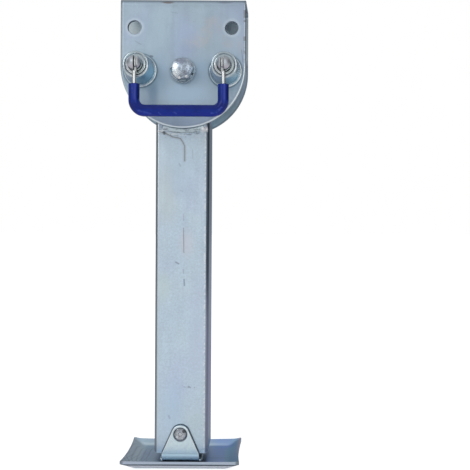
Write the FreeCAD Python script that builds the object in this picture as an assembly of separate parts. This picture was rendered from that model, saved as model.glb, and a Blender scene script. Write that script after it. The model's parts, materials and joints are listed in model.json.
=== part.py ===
import FreeCAD, Part
import math
import os

# Drop-down corner stabiliser leg for a camper.
# Frame: origin at the centre of the head bracket's top face, +Z up,
# -Y towards the side with the two lock pins and the pull handle. Millimetres.

V = FreeCAD.Vector

# ---------------------------------------------------------------- head bracket
PLATE_T = 3.5            # folded sheet thickness
HEAD_Y = 32.0            # outer faces of the two side plates
BEND_R = 5.5             # outside radius of the two folds
FRONT_HALF = 58.75       # half-width of the front plate, and radius of its round end
REAR_HALF = 60.0         # half-width of the rear plate, a little wider
HEAD_BOTTOM = -120.85    # lowest point of both round ends
EDGE_ROLL = 1.3          # rolled-over blanked edge on the outer faces
FRAME_X = 45.4           # frame-bolt holes
FRAME_Z = -26.9
FRAME_R = 6.25

# ---------------------------------------------------------------- pivot
PIVOT_Z = -67.3
BOLT_R = 6.0
THREAD_ROOT_R = 5.15
SLEEVE_R = 9.0
SLEEVE_BORE = 6.08
PLATE_BORE = 6.15

# ---------------------------------------------------------------- lock pins
LOCK_X = 39.9            # lock pins left and right of the pivot
PIN_R = 6.35
PIN_TIP_Y = -28.9        # tip when the pins are drawn, just inside the front plate
DOME_Y = -76.0           # where the domed outer end starts, and handle hinge axis
SLOT_W = 2.9
TAB_X = 38.6             # the slot and the flattened eye in it lie inwards of the pin's axis
SLOT_FLOOR_Y = -70.2
RIVET_R = 1.5
LOCK_HOLE_R = 6.95

HOUSING_FRONT_Y = -68.0
HOUSING_FLANGE_R = 15.4
HOUSING_BASE_R = 14.0
HOUSING_TIP_R = 12.1
HOUSING_T = 1.5
WASHER_Y0 = -63.5        # inner face of the guide washer
WASHER_Y1 = -66.0        # outer face of the guide washer
BOSS_Y = -67.3           # front of its raised middle
BOSS_R = 9.0

SEAT_Y0 = -38.0
SEAT_Y1 = -40.5
SEAT_R = 8.8
SPRING_WIRE_R = 0.7
SPRING_R = 7.6
SPRING_TURNS = 7.5

# ---------------------------------------------------------------- handle
HANDLE_X = 39.7
ROD_R = 1.75
GRIP_TOP_Z = -86.2
GRIP_Z = -110.1
GRIP_ARM_R = 5.0
GRIP_BAR_R = 5.35
HANDLE_BEND = 9.6
EYE_R = 5.0
EYE_T = 1.9
ROD_TOP = 6.75           # the round wire starts this far from the rivet, clear of the dome

# ---------------------------------------------------------------- leg
TUBE = 50.8
TUBE_X = -0.5            # the tube stands a little left of the pivot
TUBE_T = 3.0
TUBE_R = 3.2
TUBE_TOP = -38.0
TUBE_BOTTOM = -427.2
CHEEK_R = 53.5          # front plate, with the four lock holes
REAR_CHEEK_R = 32.0     # rear plate, plain
CHEEK_T = 2.8
WELD_LEG = 4.7

# ---------------------------------------------------------------- foot
FOOT_BOTTOM = -438.2
FOOT_T = 3.0
FOOT_FLAT_X = 44.25
FOOT_FLAT_Y = 40.25
FOOT_HALF_X = 55.0
FOOT_FRONT_Y = 52.0
FOOT_REAR_Y = 49.0
FOOT_WAIST = (1.7, 0.8, 1.2)   # how far the rim's sides, front and rear are drawn in at their middle
FOOT_SLOPE = 28.2        # degrees
CLEVIS_X = -1.0
CLEVIS_T = 3.0
CLEVIS_IN_Y = 27.0
CLEVIS_BEND = 9.5
CLEVIS_HALF = 17.5
EAR_APEX_R = 8.5
FOOT_PIN_Z = -408.8
FOOT_PIN_R = 5.7


def cyl(x, z, y0, y1, r):
    """Cylinder along Y from y0 to y1."""
    a, b = min(y0, y1), max(y0, y1)
    return Part.makeCylinder(r, b - a, V(x, a, z), V(0, 1, 0))


def box(x0, x1, y0, y1, z0, z1):
    return Part.makeBox(x1 - x0, y1 - y0, z1 - z0, V(x0, y0, z0))


def poly_face(pts):
    return Part.Face(Part.makePolygon([V(*p) for p in pts] + [V(*pts[0])]))


def turned(profile, x, z):
    """Solid of revolution about the line parallel to Y through (x, z). profile is a closed list of (radius, y)."""
    face = poly_face([(r, y, 0) for r, y in profile])
    s = face.revolve(V(0, 0, 0), V(0, 1, 0), 360)
    s.translate(V(x, 0, z))
    if s.Volume < 0:
        s.reverse()
    return s


def arc_pts(cx, cy, r, a0, a1, n):
    return [
        (cx + r * math.cos(math.radians(a0 + (a1 - a0) * i / n)),
         cy + r * math.sin(math.radians(a0 + (a1 - a0) * i / n)))
        for i in range(n + 1)
    ]


def solid(s):
    """The single valid solid of a shape."""
    if s.ShapeType != "Solid":
        ss = s.Solids
        assert len(ss) == 1, "expected one solid, got %d" % len(ss)
        s = ss[0]
    if s.Volume < 0:
        s.reverse()
    assert s.isValid(), "invalid solid"
    return s


PARTS = {}


def keep(name, s, many=False):
    if many:
        for one in s:
            assert one.isValid(), name
        PARTS[name] = Part.makeCompound(s)
    else:
        PARTS[name] = solid(s)


def try_fillet(s, r, pick):
    """Fillet the edges that pick() accepts, and keep the shape as it was if that fails."""
    edges = [e for e in s.Edges if pick(e)]
    if not edges:
        print("no edge picked for fillet", r)
        return s
    try:
        f = s.makeFillet(r, edges)
        if f.isValid() and f.Volume > 0:
            return f
    except Exception as problem:
        print("fillet failed", r, problem)
    return s


# ============================================================ head bracket
def plate_outline(half, y0, y1, outer_y):
    """A blank of a side plate: straight sides, round lower end, with the rolled edge on its outer face."""
    zc = HEAD_BOTTOM + half
    a = V(-half, y0, 3)
    b = V(-half, y0, zc)
    c = V(0, y0, HEAD_BOTTOM)
    d = V(half, y0, zc)
    e = V(half, y0, 3)
    w = Part.Wire([
        Part.LineSegment(a, b).toShape(),
        Part.Arc(b, c, d).toShape(),
        Part.LineSegment(d, e).toShape(),
        Part.LineSegment(e, a).toShape(),
    ])
    s = Part.Face(w).extrude(V(0, y1 - y0, 0))
    if s.Volume < 0:
        s.reverse()

    def outline_edge(ed):
        bb = ed.BoundBox
        return abs(bb.YMin - outer_y) < 1e-4 and abs(bb.YMax - outer_y) < 1e-4 and bb.ZMin < 2.9

    return try_fillet(s, EDGE_ROLL, outline_edge)


def channel(half_x):
    """The folded sheet as an endless inverted U along X."""
    yo, yi = HEAD_Y, HEAD_Y - PLATE_T
    ro, ri = BEND_R, BEND_R - PLATE_T
    low = HEAD_BOTTOM - 2
    s45 = math.sin(math.radians(45))

    def p(y, z):
        return V(-half_x, y, z)

    edges = [
        Part.LineSegment(p(-yo, low), p(-yo, -ro)).toShape(),
        Part.Arc(p(-yo, -ro), p(-yo + ro - ro * s45, -ro + ro * s45), p(-yo + ro, 0)).toShape(),
        Part.LineSegment(p(-yo + ro, 0), p(yo - ro, 0)).toShape(),
        Part.Arc(p(yo - ro, 0), p(yo - ro + ro * s45, -ro + ro * s45), p(yo, -ro)).toShape(),
        Part.LineSegment(p(yo, -ro), p(yo, low)).toShape(),
        Part.LineSegment(p(yo, low), p(yi, low)).toShape(),
        Part.LineSegment(p(yi, low), p(yi, -ro)).toShape(),
        Part.Arc(p(yi, -ro), p(yi - ri + ri * s45, -ro + ri * s45), p(yi - ri, -PLATE_T)).toShape(),
        Part.LineSegment(p(yi - ri, -PLATE_T), p(-yi + ri, -PLATE_T)).toShape(),
        Part.Arc(p(-yi + ri, -PLATE_T), p(-yi + ri - ri * s45, -ro + ri * s45), p(-yi, -ro)).toShape(),
        Part.LineSegment(p(-yi, -ro), p(-yi, low)).toShape(),
        Part.LineSegment(p(-yi, low), p(-yo, low)).toShape(),
    ]
    s = Part.Face(Part.Wire(edges)).extrude(V(2 * half_x, 0, 0))
    if s.Volume < 0:
        s.reverse()
    return s


fold_y = HEAD_Y - BEND_R
web = poly_face([
    (-FRONT_HALF, -fold_y, -12), (FRONT_HALF, -fold_y, -12),
    (REAR_HALF, fold_y, -12), (-REAR_HALF, fold_y, -12),
]).extrude(V(0, 0, 16))
u = channel(66)
front = u.common(plate_outline(FRONT_HALF, -HEAD_Y, -fold_y, -HEAD_Y))
rear = u.common(plate_outline(REAR_HALF, fold_y, HEAD_Y, HEAD_Y))
middle = u.common(web)
bracket = front.fuse([middle, rear]).removeSplitter()
for sx in (-1, 1):
    bracket = bracket.cut(cyl(sx * FRAME_X, FRAME_Z, -40, 40, FRAME_R))
    bracket = bracket.cut(cyl(sx * LOCK_X, PIVOT_Z, -40, 0, PIN_R + 0.2))
bracket = bracket.cut(cyl(0, PIVOT_Z, -40, 40, PLATE_BORE))


def bracket_hole_rim(e):
    bb = e.BoundBox
    flat = bb.YMax - bb.YMin < 1e-4
    small = 10 < bb.XLength < 14 and 10 < bb.ZLength < 14
    return flat and small and abs(abs(bb.YMin) - HEAD_Y) < 1e-3 and abs(abs(bb.Center.x) - FRAME_X) < 1


bracket = try_fillet(bracket, 0.5, bracket_hole_rim)
keep("head_bracket", bracket)

# ============================================================ lock pins, left and right
tan_h = (HOUSING_BASE_R - HOUSING_TIP_R) / (abs(HOUSING_FRONT_Y) - 3.0 - 34.0)


def housing_r(y):
    """Outside radius of the housing's tapered wall."""
    return HOUSING_BASE_R - (abs(y) - 34.0) * tan_h


for side, sx in (("left", -1), ("right", 1)):
    x = sx * LOCK_X
    yf = HOUSING_FRONT_Y
    ri = HOUSING_TIP_R - HOUSING_T
    outer = [(HOUSING_BASE_R - HOUSING_T, -HEAD_Y), (HOUSING_FLANGE_R - 0.5, -HEAD_Y)]
    outer += [(r, y) for r, y in arc_pts(HOUSING_FLANGE_R - 0.9, -HEAD_Y - 0.9, 0.9, 0, -90, 6)]
    outer += [(HOUSING_BASE_R + 0.35, -HEAD_Y - 1.8), (HOUSING_BASE_R, -34.4)]
    outer += [(housing_r(y), y) for y in (-36.0, yf + 2.6)]
    outer += [(r, y) for r, y in arc_pts(HOUSING_TIP_R - 1.5, yf + 1.5, 1.5, 0, -90, 8)]
    outer += [(r, y) for r, y in arc_pts(HOUSING_TIP_R - 1.7, yf + 0.65, 0.65, -90, -180, 5)]
    outer += [(9.75, WASHER_Y1), (HOUSING_TIP_R - HOUSING_T - 0.05, WASHER_Y1)]
    outer += [(housing_r(-60.0) - HOUSING_T, -60.0), (housing_r(-36.0) - HOUSING_T, -36.0)]
    keep(side + "_pin_housing", turned(outer, x, PIVOT_Z))

    rw = HOUSING_TIP_R - HOUSING_T - 0.1
    keep(side + "_guide_washer", turned([
        (PIN_R + 0.1, WASHER_Y0), (rw, WASHER_Y0), (rw, WASHER_Y1), (BOSS_R, WASHER_Y1),
        (BOSS_R, BOSS_Y + 0.5), (BOSS_R - 0.15, BOSS_Y + 0.15), (BOSS_R - 0.5, BOSS_Y), (PIN_R + 0.6, BOSS_Y),
        (PIN_R + 0.1, BOSS_Y + 0.5),
    ], x, PIVOT_Z))

    dome = arc_pts(0, DOME_Y, PIN_R, -0.0, -90, 18)
    pin = turned(
        [(0, PIN_TIP_Y), (PIN_R - 1.3, PIN_TIP_Y), (PIN_R, PIN_TIP_Y - 1.6)]
        + [(r, y) for r, y in dome[:-1]] + [(0, DOME_Y - PIN_R)],
        x, PIVOT_Z)
    slot = box(sx * TAB_X - SLOT_W / 2, sx * TAB_X + SLOT_W / 2, DOME_Y - PIN_R - 1, SLOT_FLOOR_Y, PIVOT_Z - PIN_R - 1, PIVOT_Z + PIN_R + 1)
    pin = pin.cut(slot)
    cross = Part.makeCylinder(RIVET_R, 2 * PIN_R + 4, V(x - PIN_R - 2, DOME_Y, PIVOT_Z), V(1, 0, 0))
    pin = pin.cut(cross)
    keep(side + "_lock_pin", pin)

    # cross rivet: flush shank with a slightly domed peened end each side
    rivet_half = PIN_R + 0.1
    rv = Part.makeCylinder(RIVET_R, 2 * rivet_half, V(x - rivet_half, DOME_Y, PIVOT_Z), V(1, 0, 0))
    rv = try_fillet(rv, 0.5, lambda e: e.BoundBox.XLength < 1e-4 and e.BoundBox.ZLength > 2)
    keep(side + "_handle_rivet", rv)

    keep(side + "_spring_seat", turned([
        (PIN_R, SEAT_Y0), (SEAT_R - 0.4, SEAT_Y0), (SEAT_R, SEAT_Y0 - 0.4),
        (SEAT_R, SEAT_Y1), (PIN_R, SEAT_Y1)], x, PIVOT_Z))

    y_a = SEAT_Y1 - SPRING_WIRE_R - 0.05
    y_b = WASHER_Y0 + SPRING_WIRE_R + 0.05
    length = abs(y_b - y_a)
    helix = Part.makeLongHelix(length / SPRING_TURNS, length, SPRING_R)
    sect = Part.Wire(Part.Circle(V(SPRING_R, 0, 0), V(0, 1, 0), SPRING_WIRE_R).toShape())
    coil = Part.Wire(helix).makePipeShell([sect], True, True)
    coil.rotate(V(0, 0, 0), V(1, 0, 0), 90)      # +Z becomes -Y
    coil.translate(V(x, y_a, PIVOT_Z))
    keep(side + "_lock_spring", coil)

# ============================================================ pull handle
xh, b = HANDLE_X, HANDLE_BEND
yh = DOME_Y
s45 = math.sin(math.radians(45))


def handle_wire(z_top):
    pts = [
        V(-xh, yh, z_top), V(-xh, yh, GRIP_Z + b), V(-xh + b - b * s45, yh, GRIP_Z + b - b * s45),
        V(-xh + b, yh, GRIP_Z), V(xh - b, yh, GRIP_Z), V(xh - b + b * s45, yh, GRIP_Z + b - b * s45),
        V(xh, yh, GRIP_Z + b), V(xh, yh, z_top),
    ]
    return Part.Wire([
        Part.LineSegment(pts[0], pts[1]).toShape(),
        Part.Arc(pts[1], pts[2], pts[3]).toShape(),
        Part.LineSegment(pts[3], pts[4]).toShape(),
        Part.Arc(pts[4], pts[5], pts[6]).toShape(),
        Part.LineSegment(pts[6], pts[7]).toShape(),
    ])


def z_circle(x, z, r):
    return Part.Wire(Part.Circle(V(x, yh, z), V(0, 0, 1), r).toShape())


wire_top = PIVOT_Z - ROD_TOP - 1.4
rod = handle_wire(wire_top).makePipeShell([z_circle(-xh, wire_top, ROD_R)], True, True)
rod = solid(rod)
rod_core = rod.copy()
for sx in (-1, 1):
    # rounded upper end of the round wire, and the flattened eye that stands in the pin's slot
    nose = Part.makeCylinder(ROD_R, 1.4, V(sx * xh, yh, wire_top), V(0, 0, 1))
    nose = try_fillet(nose, 0.9, lambda e: e.BoundBox.ZLength < 1e-4 and e.BoundBox.ZMin > wire_top + 1)
    tab_in = sx * TAB_X - EYE_T / 2
    eye = Part.makeCylinder(EYE_R, EYE_T, V(tab_in, yh, PIVOT_Z), V(1, 0, 0))
    eye = try_fillet(eye, 0.5, lambda e: e.BoundBox.XLength < 1e-4)
    neck = box(tab_in, tab_in + EYE_T, yh - 1.5, yh + 1.5, wire_top, PIVOT_Z)
    rod = rod.fuse([nose, eye, neck])
for sx in (-1, 1):
    rod = rod.cut(Part.makeCylinder(RIVET_R + 0.08, 6, V(sx * TAB_X - 3, yh, PIVOT_Z), V(1, 0, 0)))
keep("handle_rod", rod)

# vinyl sleeve: thinner on the arms, thicker on the bar
arm_low = GRIP_Z + b
pieces = []
for sx in (-1, 1):
    arm = Part.makeCylinder(GRIP_ARM_R, GRIP_TOP_Z - arm_low, V(sx * xh, yh, arm_low), V(0, 0, 1))
    arm = try_fillet(arm, 0.7, lambda e: abs(e.BoundBox.ZMin - GRIP_TOP_Z) < 1e-4 and abs(e.BoundBox.ZMax - GRIP_TOP_Z) < 1e-4)
    pieces.append(arm)
    n = 6
    spine = Part.Wire(Part.Arc(
        V(sx * xh, yh, arm_low),
        V(sx * (xh - b + b * s45), yh, GRIP_Z + b - b * s45),
        V(sx * (xh - b), yh, GRIP_Z)).toShape())
    sections = []
    for i in range(n + 1):
        t = math.radians(90.0 * i / n)
        c = V(sx * (xh - b + b * math.cos(t)), yh, GRIP_Z + b - b * math.sin(t))
        d = V(-sx * math.sin(t), 0, -math.cos(t))
        k = i / n
        k = k * k * (3 - 2 * k)
        r = GRIP_ARM_R + (GRIP_BAR_R - GRIP_ARM_R) * k
        circle = Part.Circle(c, d, r)
        sections.append(Part.Wire(circle.toShape()))
    bend = Part.makeLoft(sections, True, False)
    pieces.append(solid(bend))
bar = Part.makeCylinder(GRIP_BAR_R, 2 * (xh - b), V(-(xh - b), yh, GRIP_Z), V(1, 0, 0))
grip = bar.fuse(pieces)
grip = grip.cut(rod_core)
keep("handle_grip", grip)

# ============================================================ leg
def tube_outline(half, r, z):
    f = Part.makePlane(2 * half, 2 * half, V(TUBE_X - half, -half, z))
    body = f.extrude(V(0, 0, TUBE_TOP - TUBE_BOTTOM))
    return body.makeFillet(r, [e for e in body.Edges if e.BoundBox.ZLength > 100])


tube = tube_outline(TUBE / 2, TUBE_R, TUBE_BOTTOM).cut(
    tube_outline(TUBE / 2 - TUBE_T, max(TUBE_R - TUBE_T, 0.8), TUBE_BOTTOM))
# lower corners rounded so that the foot can tilt
R_CORNER = 3.0
for sx in (-1, 1):
    xc = TUBE_X + sx * (TUBE / 2 - R_CORNER)
    zc = TUBE_BOTTOM + R_CORNER
    block = box(min(xc, sx * 30), max(xc, sx * 30), -30, 30, TUBE_BOTTOM - 1, zc)
    block = block.cut(cyl(xc, zc, -31, 31, R_CORNER))
    tube = tube.cut(block)
tube = tube.cut(cyl(0, PIVOT_Z, -30, 30, SLEEVE_R))
tube = tube.cut(cyl(0, PIVOT_Z - LOCK_X, -30, 0, LOCK_HOLE_R))
tube = tube.cut(cyl(CLEVIS_X, FOOT_PIN_Z, -30, 30, FOOT_PIN_R + 0.1))
keep("leg_tube", tube)

for side, sy, cheek_r, half_arc in (("front", -1, CHEEK_R, 21.5), ("rear", 1, REAR_CHEEK_R, 35.0)):
    y0, y1 = sy * TUBE / 2, sy * (TUBE / 2 + CHEEK_T)
    disc = cyl(0, PIVOT_Z, y0, y1, cheek_r)
    disc = try_fillet(disc, 0.6, lambda e: e.BoundBox.YLength < 1e-4)
    disc = disc.cut(cyl(0, PIVOT_Z, -40, 40, SLEEVE_R))
    for dx, dz in ((LOCK_X, 0), (-LOCK_X, 0), (0, LOCK_X), (0, -LOCK_X)) if side == "front" else ():
        disc = disc.cut(cyl(dx, PIVOT_Z + dz, -40, 40, LOCK_HOLE_R))
    keep(side + "_cheek_plate", disc)

    # arc weld under the plate, from corner radius to corner radius of the tube, and one across the tube's top end
    face_pts = [(cheek_r, y0), (cheek_r, y0 + sy * 2.75), (cheek_r + 1.4, y0 + sy * 2.6),
                (cheek_r + 3.2, y0 + sy * 1.7), (cheek_r + WELD_LEG, y0)]
    prof = poly_face([(0 + 0.0, y, -r) for r, y in face_pts])
    prof.rotate(V(0, 0, 0), V(0, 1, 0), -half_arc)
    bead = prof.revolve(V(0, 0, 0), V(0, 1, 0), 2 * half_arc)
    if bead.Volume < 0:
        bead.reverse()
    bead.translate(V(0, 0, PIVOT_Z))
    xt = TUBE_X - 19
    top = poly_face([(xt, y0, TUBE_TOP), (xt, y0, TUBE_TOP + 3.2), (xt, y0 - sy * 2.8, TUBE_TOP)]).extrude(V(38, 0, 0))
    if top.Volume < 0:
        top.reverse()
    keep(side + "_cheek_weld", [bead.Solids[0] if bead.Solids else Part.Solid(bead), top.Solids[0]], many=True)

sleeve_len = 28.25
sleeve = cyl(0, PIVOT_Z, -sleeve_len, sleeve_len, SLEEVE_R).cut(cyl(0, PIVOT_Z, -40, 40, SLEEVE_BORE))
keep("pivot_sleeve", sleeve)

# ============================================================ pivot bolt, washers, lock nut
def hexagon(af, y0, y1, chamfer_r=None, turn=0.0):
    """Hex prism along Y, its corners cut by a 30 degree cone at the y1 end."""
    rc = af / 2 / math.cos(math.radians(30))
    pts = [(rc * math.cos(math.radians(60 * i + turn)), y0, rc * math.sin(math.radians(60 * i + turn))) for i in range(6)]
    s = poly_face(pts).extrude(V(0, y1 - y0, 0))
    if s.Volume < 0:
        s.reverse()
    if chamfer_r:
        sgn = 1 if y1 > y0 else -1
        drop = (rc - chamfer_r) * math.tan(math.radians(30))
        cone = turned([(0, y0 - sgn), (rc + 2, y0 - sgn), (rc + 2, y1 - sgn * (drop + 2 * math.tan(math.radians(30)))),
                       (chamfer_r, y1), (0, y1)], 0, 0)
        s = s.common(cone)
    return solid(s)


WASHER_T = 2.5
SPRING_T = 3.2
head_y0 = -HEAD_Y - WASHER_T - SPRING_T
head_y1 = head_y0 - 8.4
bolt = hexagon(18.9, head_y0, head_y1, 8.9, 6.0)
crown = turned([(0, head_y1 + 0.5), (8.0, head_y1 + 0.5), (8.0, head_y1), (6.6, head_y1 - 0.6), (4.8, head_y1 - 1.05),
                (2.6, head_y1 - 1.35), (0, head_y1 - 1.45)], 0, 0)
bolt = bolt.fuse(crown)
# the free end is drawn at the thread's root
bolt = bolt.fuse(turned([(0, head_y0 - 0.5), (BOLT_R, head_y0 - 0.5), (BOLT_R, HEAD_Y + 14.8), (THREAD_ROOT_R, HEAD_Y + 15.0),
                         (THREAD_ROOT_R, HEAD_Y + 17.3), (THREAD_ROOT_R - 0.9, HEAD_Y + 18.2), (0, HEAD_Y + 18.2)], 0, 0))
bolt.translate(V(0, 0, PIVOT_Z))
keep("pivot_bolt", bolt.removeSplitter())

flat = cyl(0, PIVOT_Z, -HEAD_Y, -HEAD_Y - WASHER_T, 12.0).cut(cyl(0, PIVOT_Z, -60, 0, BOLT_R + 0.4))
flat = try_fillet(flat, 0.4, lambda e: e.BoundBox.YLength < 1e-4 and e.BoundBox.XLength > 20)
keep("pivot_front_washer", flat)

lockwasher = cyl(0, PIVOT_Z, -HEAD_Y - WASHER_T, head_y0, 10.6).cut(cyl(0, PIVOT_Z, -60, 0, BOLT_R + 0.2))
gap = box(0, 14, head_y0 - 3, -HEAD_Y - WASHER_T + 3, -0.9, 0.9)
gap.rotate(V(0, head_y0 + SPRING_T / 2, 0), V(1, 0, 0), 25)
gap.rotate(V(0, 0, 0), V(0, 1, 0), 18)
gap.translate(V(0, 0, PIVOT_Z))
keep("pivot_spring_washer", lockwasher.cut(gap))

washer = cyl(0, PIVOT_Z, HEAD_Y, HEAD_Y + 2.5, 12.0).cut(cyl(0, PIVOT_Z, 0, 60, BOLT_R + 0.4))
washer = try_fillet(washer, 0.4, lambda e: e.BoundBox.YLength < 1e-4 and e.BoundBox.XLength > 20)
keep("pivot_washer", washer)

nut_y0, nut_y1 = HEAD_Y + 2.5, HEAD_Y + 12.0
nut = hexagon(18.9, nut_y0, nut_y1, 9.0, 4.0)
collar = turned([(0, nut_y1 - 0.5), (8.7, nut_y1 - 0.5), (8.7, nut_y1 + 1.6), (8.1, nut_y1 + 2.4), (7.4, nut_y1 + 2.6), (0, nut_y1 + 2.6)], 0, 0)
nut = nut.fuse(collar)
nut.translate(V(0, 0, PIVOT_Z))
nut = nut.cut(cyl(0, PIVOT_Z, 0, 60, BOLT_R))
nut = nut.cut(cyl(0, PIVOT_Z, nut_y1 + 0.1, nut_y1 + 2.2, 7.7))
nut = nut.cut(cyl(0, PIVOT_Z, nut_y1 + 2.0, nut_y1 + 5, 7.2))
keep("pivot_lock_nut", nut.removeSplitter())
keep("lock_nut_insert", cyl(0, PIVOT_Z, nut_y1 + 0.1, nut_y1 + 2.2, 7.7).cut(cyl(0, PIVOT_Z, 0, 60, BOLT_R)))

# ============================================================ foot
slope = math.tan(math.radians(FOOT_SLOPE))


def dish(z_flat, fx, fy, r_corner, r_bend):
    """A frustum that opens upwards from a flat rectangle, with rounded bends."""
    rise = 14.0
    ex = rise / slope
    a = [(-fx, -fy), (fx, -fy), (fx, fy), (-fx, fy)]
    c = [(-fx - ex, -fy - ex), (fx + ex, -fy - ex), (fx + ex, fy + ex), (-fx - ex, fy + ex)]
    w0 = Part.makePolygon([V(x, y, z_flat) for x, y in a] + [V(a[0][0], a[0][1], z_flat)])
    w1 = Part.makePolygon([V(x, y, z_flat + rise) for x, y in c] + [V(c[0][0], c[0][1], z_flat + rise)])
    s = Part.makeLoft([w0, w1], True, True)
    s = solid(s)
    s = try_fillet(s, r_corner, lambda e: e.BoundBox.ZLength > 5)
    s = try_fillet(s, r_bend, lambda e: e.BoundBox.ZLength < 1e-4 and abs(e.BoundBox.ZMin - z_flat) < 1e-4)
    return s


ang = math.radians(FOOT_SLOPE)
shift = FOOT_T * (1 - math.cos(ang)) / math.sin(ang)
outer_dish = dish(FOOT_BOTTOM, FOOT_FLAT_X, FOOT_FLAT_Y, 16.0, 15.0)
inner_dish = dish(FOOT_BOTTOM + FOOT_T, FOOT_FLAT_X - shift, FOOT_FLAT_Y - shift, 13.0, 12.0)
fx, fy0, fy1, zlow = FOOT_HALF_X, -FOOT_FRONT_Y, FOOT_REAR_Y, FOOT_BOTTOM - 1
fym = (fy0 + fy1) / 2
rim = [V(-fx, fy0, zlow), V(fx, fy0, zlow), V(fx, fy1, zlow), V(-fx, fy1, zlow)]
mid = [V(0, fy0 + FOOT_WAIST[1], zlow), V(fx - FOOT_WAIST[0], fym, zlow), V(0, fy1 - FOOT_WAIST[2], zlow), V(-fx + FOOT_WAIST[0], fym, zlow)]
blank = Part.Face(Part.Wire([Part.Arc(rim[i], mid[i], rim[(i + 1) % 4]).toShape() for i in range(4)])).extrude(V(0, 0, 14))
if blank.Volume < 0:
    blank.reverse()
blank = blank.makeFillet(2.2, [e for e in blank.Edges if e.BoundBox.ZLength > 5])
foot = outer_dish.cut(inner_dish).common(blank)
foot = solid(foot)
keep("foot_plate", foot)

# clevis: one folded strip with two pointed ears
zb = FOOT_BOTTOM + FOOT_T
yo = CLEVIS_IN_Y + CLEVIS_T
yi = CLEVIS_IN_Y
ro, ri = CLEVIS_BEND, CLEVIS_BEND - CLEVIS_T
top_z = FOOT_PIN_Z + EAR_APEX_R + 2


def q(y, z):
    return V(-40, y, z)


edges = [
    Part.LineSegment(q(-yo, top_z), q(-yo, zb + ro)).toShape(),
    Part.Arc(q(-yo, zb + ro), q(-yo + ro - ro * s45, zb + ro - ro * s45), q(-yo + ro, zb)).toShape(),
    Part.LineSegment(q(-yo + ro, zb), q(yo - ro, zb)).toShape(),
    Part.Arc(q(yo - ro, zb), q(yo - ro + ro * s45, zb + ro - ro * s45), q(yo, zb + ro)).toShape(),
    Part.LineSegment(q(yo, zb + ro), q(yo, top_z)).toShape(),
    Part.LineSegment(q(yo, top_z), q(yi, top_z)).toShape(),
    Part.LineSegment(q(yi, top_z), q(yi, zb + ro)).toShape(),
    Part.Arc(q(yi, zb + ro), q(yo - ro + ri * s45, zb + ro - ri * s45), q(yo - ro, zb + CLEVIS_T)).toShape(),
    Part.LineSegment(q(yo - ro, zb + CLEVIS_T), q(-yo + ro, zb + CLEVIS_T)).toShape(),
    Part.Arc(q(-yo + ro, zb + CLEVIS_T), q(-yo + ro - ri * s45, zb + ro - ri * s45), q(-yi, zb + ro)).toShape(),
    Part.LineSegment(q(-yi, zb + ro), q(-yi, top_z)).toShape(),
    Part.LineSegment(q(-yi, top_z), q(-yo, top_z)).toShape(),
]
strip = Part.Face(Part.Wire(edges)).extrude(V(80, 0, 0))
if strip.Volume < 0:
    strip.reverse()
# ear outline: round top tangent to two straight sides, then parallel down to the fold
ear_low = -427.0
px, pz = CLEVIS_HALF, ear_low - FOOT_PIN_Z        # lower corner relative to the pin
dist = math.hypot(px, pz)
beta = math.asin(EAR_APEX_R / dist)
direction = math.atan2(-pz, px)                    # below the horizontal
phi = math.pi / 2 - direction - beta               # slant of the side from vertical
nx, nz = math.cos(phi), math.sin(phi)              # outward normal of the right-hand side
tx, tz = EAR_APEX_R * nx, EAR_APEX_R * nz
cx, cz = CLEVIS_X, FOOT_PIN_Z
pts = [
    V(cx - CLEVIS_HALF, -45, zb - 2), V(cx - CLEVIS_HALF, -45, ear_low), V(cx - tx, -45, cz + tz),
    V(cx, -45, cz + EAR_APEX_R), V(cx + tx, -45, cz + tz), V(cx + CLEVIS_HALF, -45, ear_low),
    V(cx + CLEVIS_HALF, -45, zb - 2),
]
ear_wire = Part.Wire([
    Part.LineSegment(pts[0], pts[1]).toShape(), Part.LineSegment(pts[1], pts[2]).toShape(),
    Part.Arc(pts[2], pts[3], pts[4]).toShape(), Part.LineSegment(pts[4], pts[5]).toShape(),
    Part.LineSegment(pts[5], pts[6]).toShape(), Part.LineSegment(pts[6], pts[0]).toShape(),
])
ear_prism = Part.Face(ear_wire).extrude(V(0, 90, 0))
if ear_prism.Volume < 0:
    ear_prism.reverse()
clevis = strip.common(ear_prism)
clevis = clevis.cut(cyl(cx, cz, -40, 40, FOOT_PIN_R))
for sy in (-1, 1):
    sink = turned([(0, sy * (yo - 1.0)), (FOOT_PIN_R, sy * (yo - 1.0)), (6.4, sy * yo), (6.4, sy * (yo + 1)), (0, sy * (yo + 1))], cx, cz)
    clevis = clevis.cut(sink)
clevis = solid(clevis)
clevis = try_fillet(clevis, 0.5, lambda e: e.BoundBox.YLength < 1e-4 and abs(abs(e.BoundBox.YMin) - yo) < 1e-4 and e.BoundBox.XLength + e.BoundBox.ZLength > 16 and e.BoundBox.ZMax < cz + EAR_APEX_R + 1)
keep("foot_clevis", clevis)

# foot pin: both ends spread over the countersinks, with a pressed centre
half = yo
end = [(1.5, half - 0.75), (2.15, half + 0.05), (3.2, half + 0.25), (4.3, half + 0.55), (5.25, half + 0.45), (5.85, half + 0.05), (5.95, half - 0.25), (FOOT_PIN_R, half - 1.0)]
prof = [(0, -(half - 1.0))] + [(r, -y) for r, y in end] + [(r, y) for r, y in reversed(end)] + [(0, half - 1.0)]
pin = turned(prof, cx, cz)
keep("foot_pin", pin)

# two fillet welds between the clevis base and the foot plate
beads = []
for sx in (-1, 1):
    x0 = cx + sx * CLEVIS_HALF
    f = poly_face([(x0, -21, zb), (x0, -21, zb + 2.7), (x0 + sx * 1.3, -21, zb + 2.2), (x0 + sx * 2.6, -21, zb + 1.1), (x0 + sx * 3.2, -21, zb)])
    s = f.extrude(V(0, 42, 0))
    if s.Volume < 0:
        s.reverse()
    beads.append(s.Solids[0])
keep("foot_clevis_weld", beads, many=True)

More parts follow.
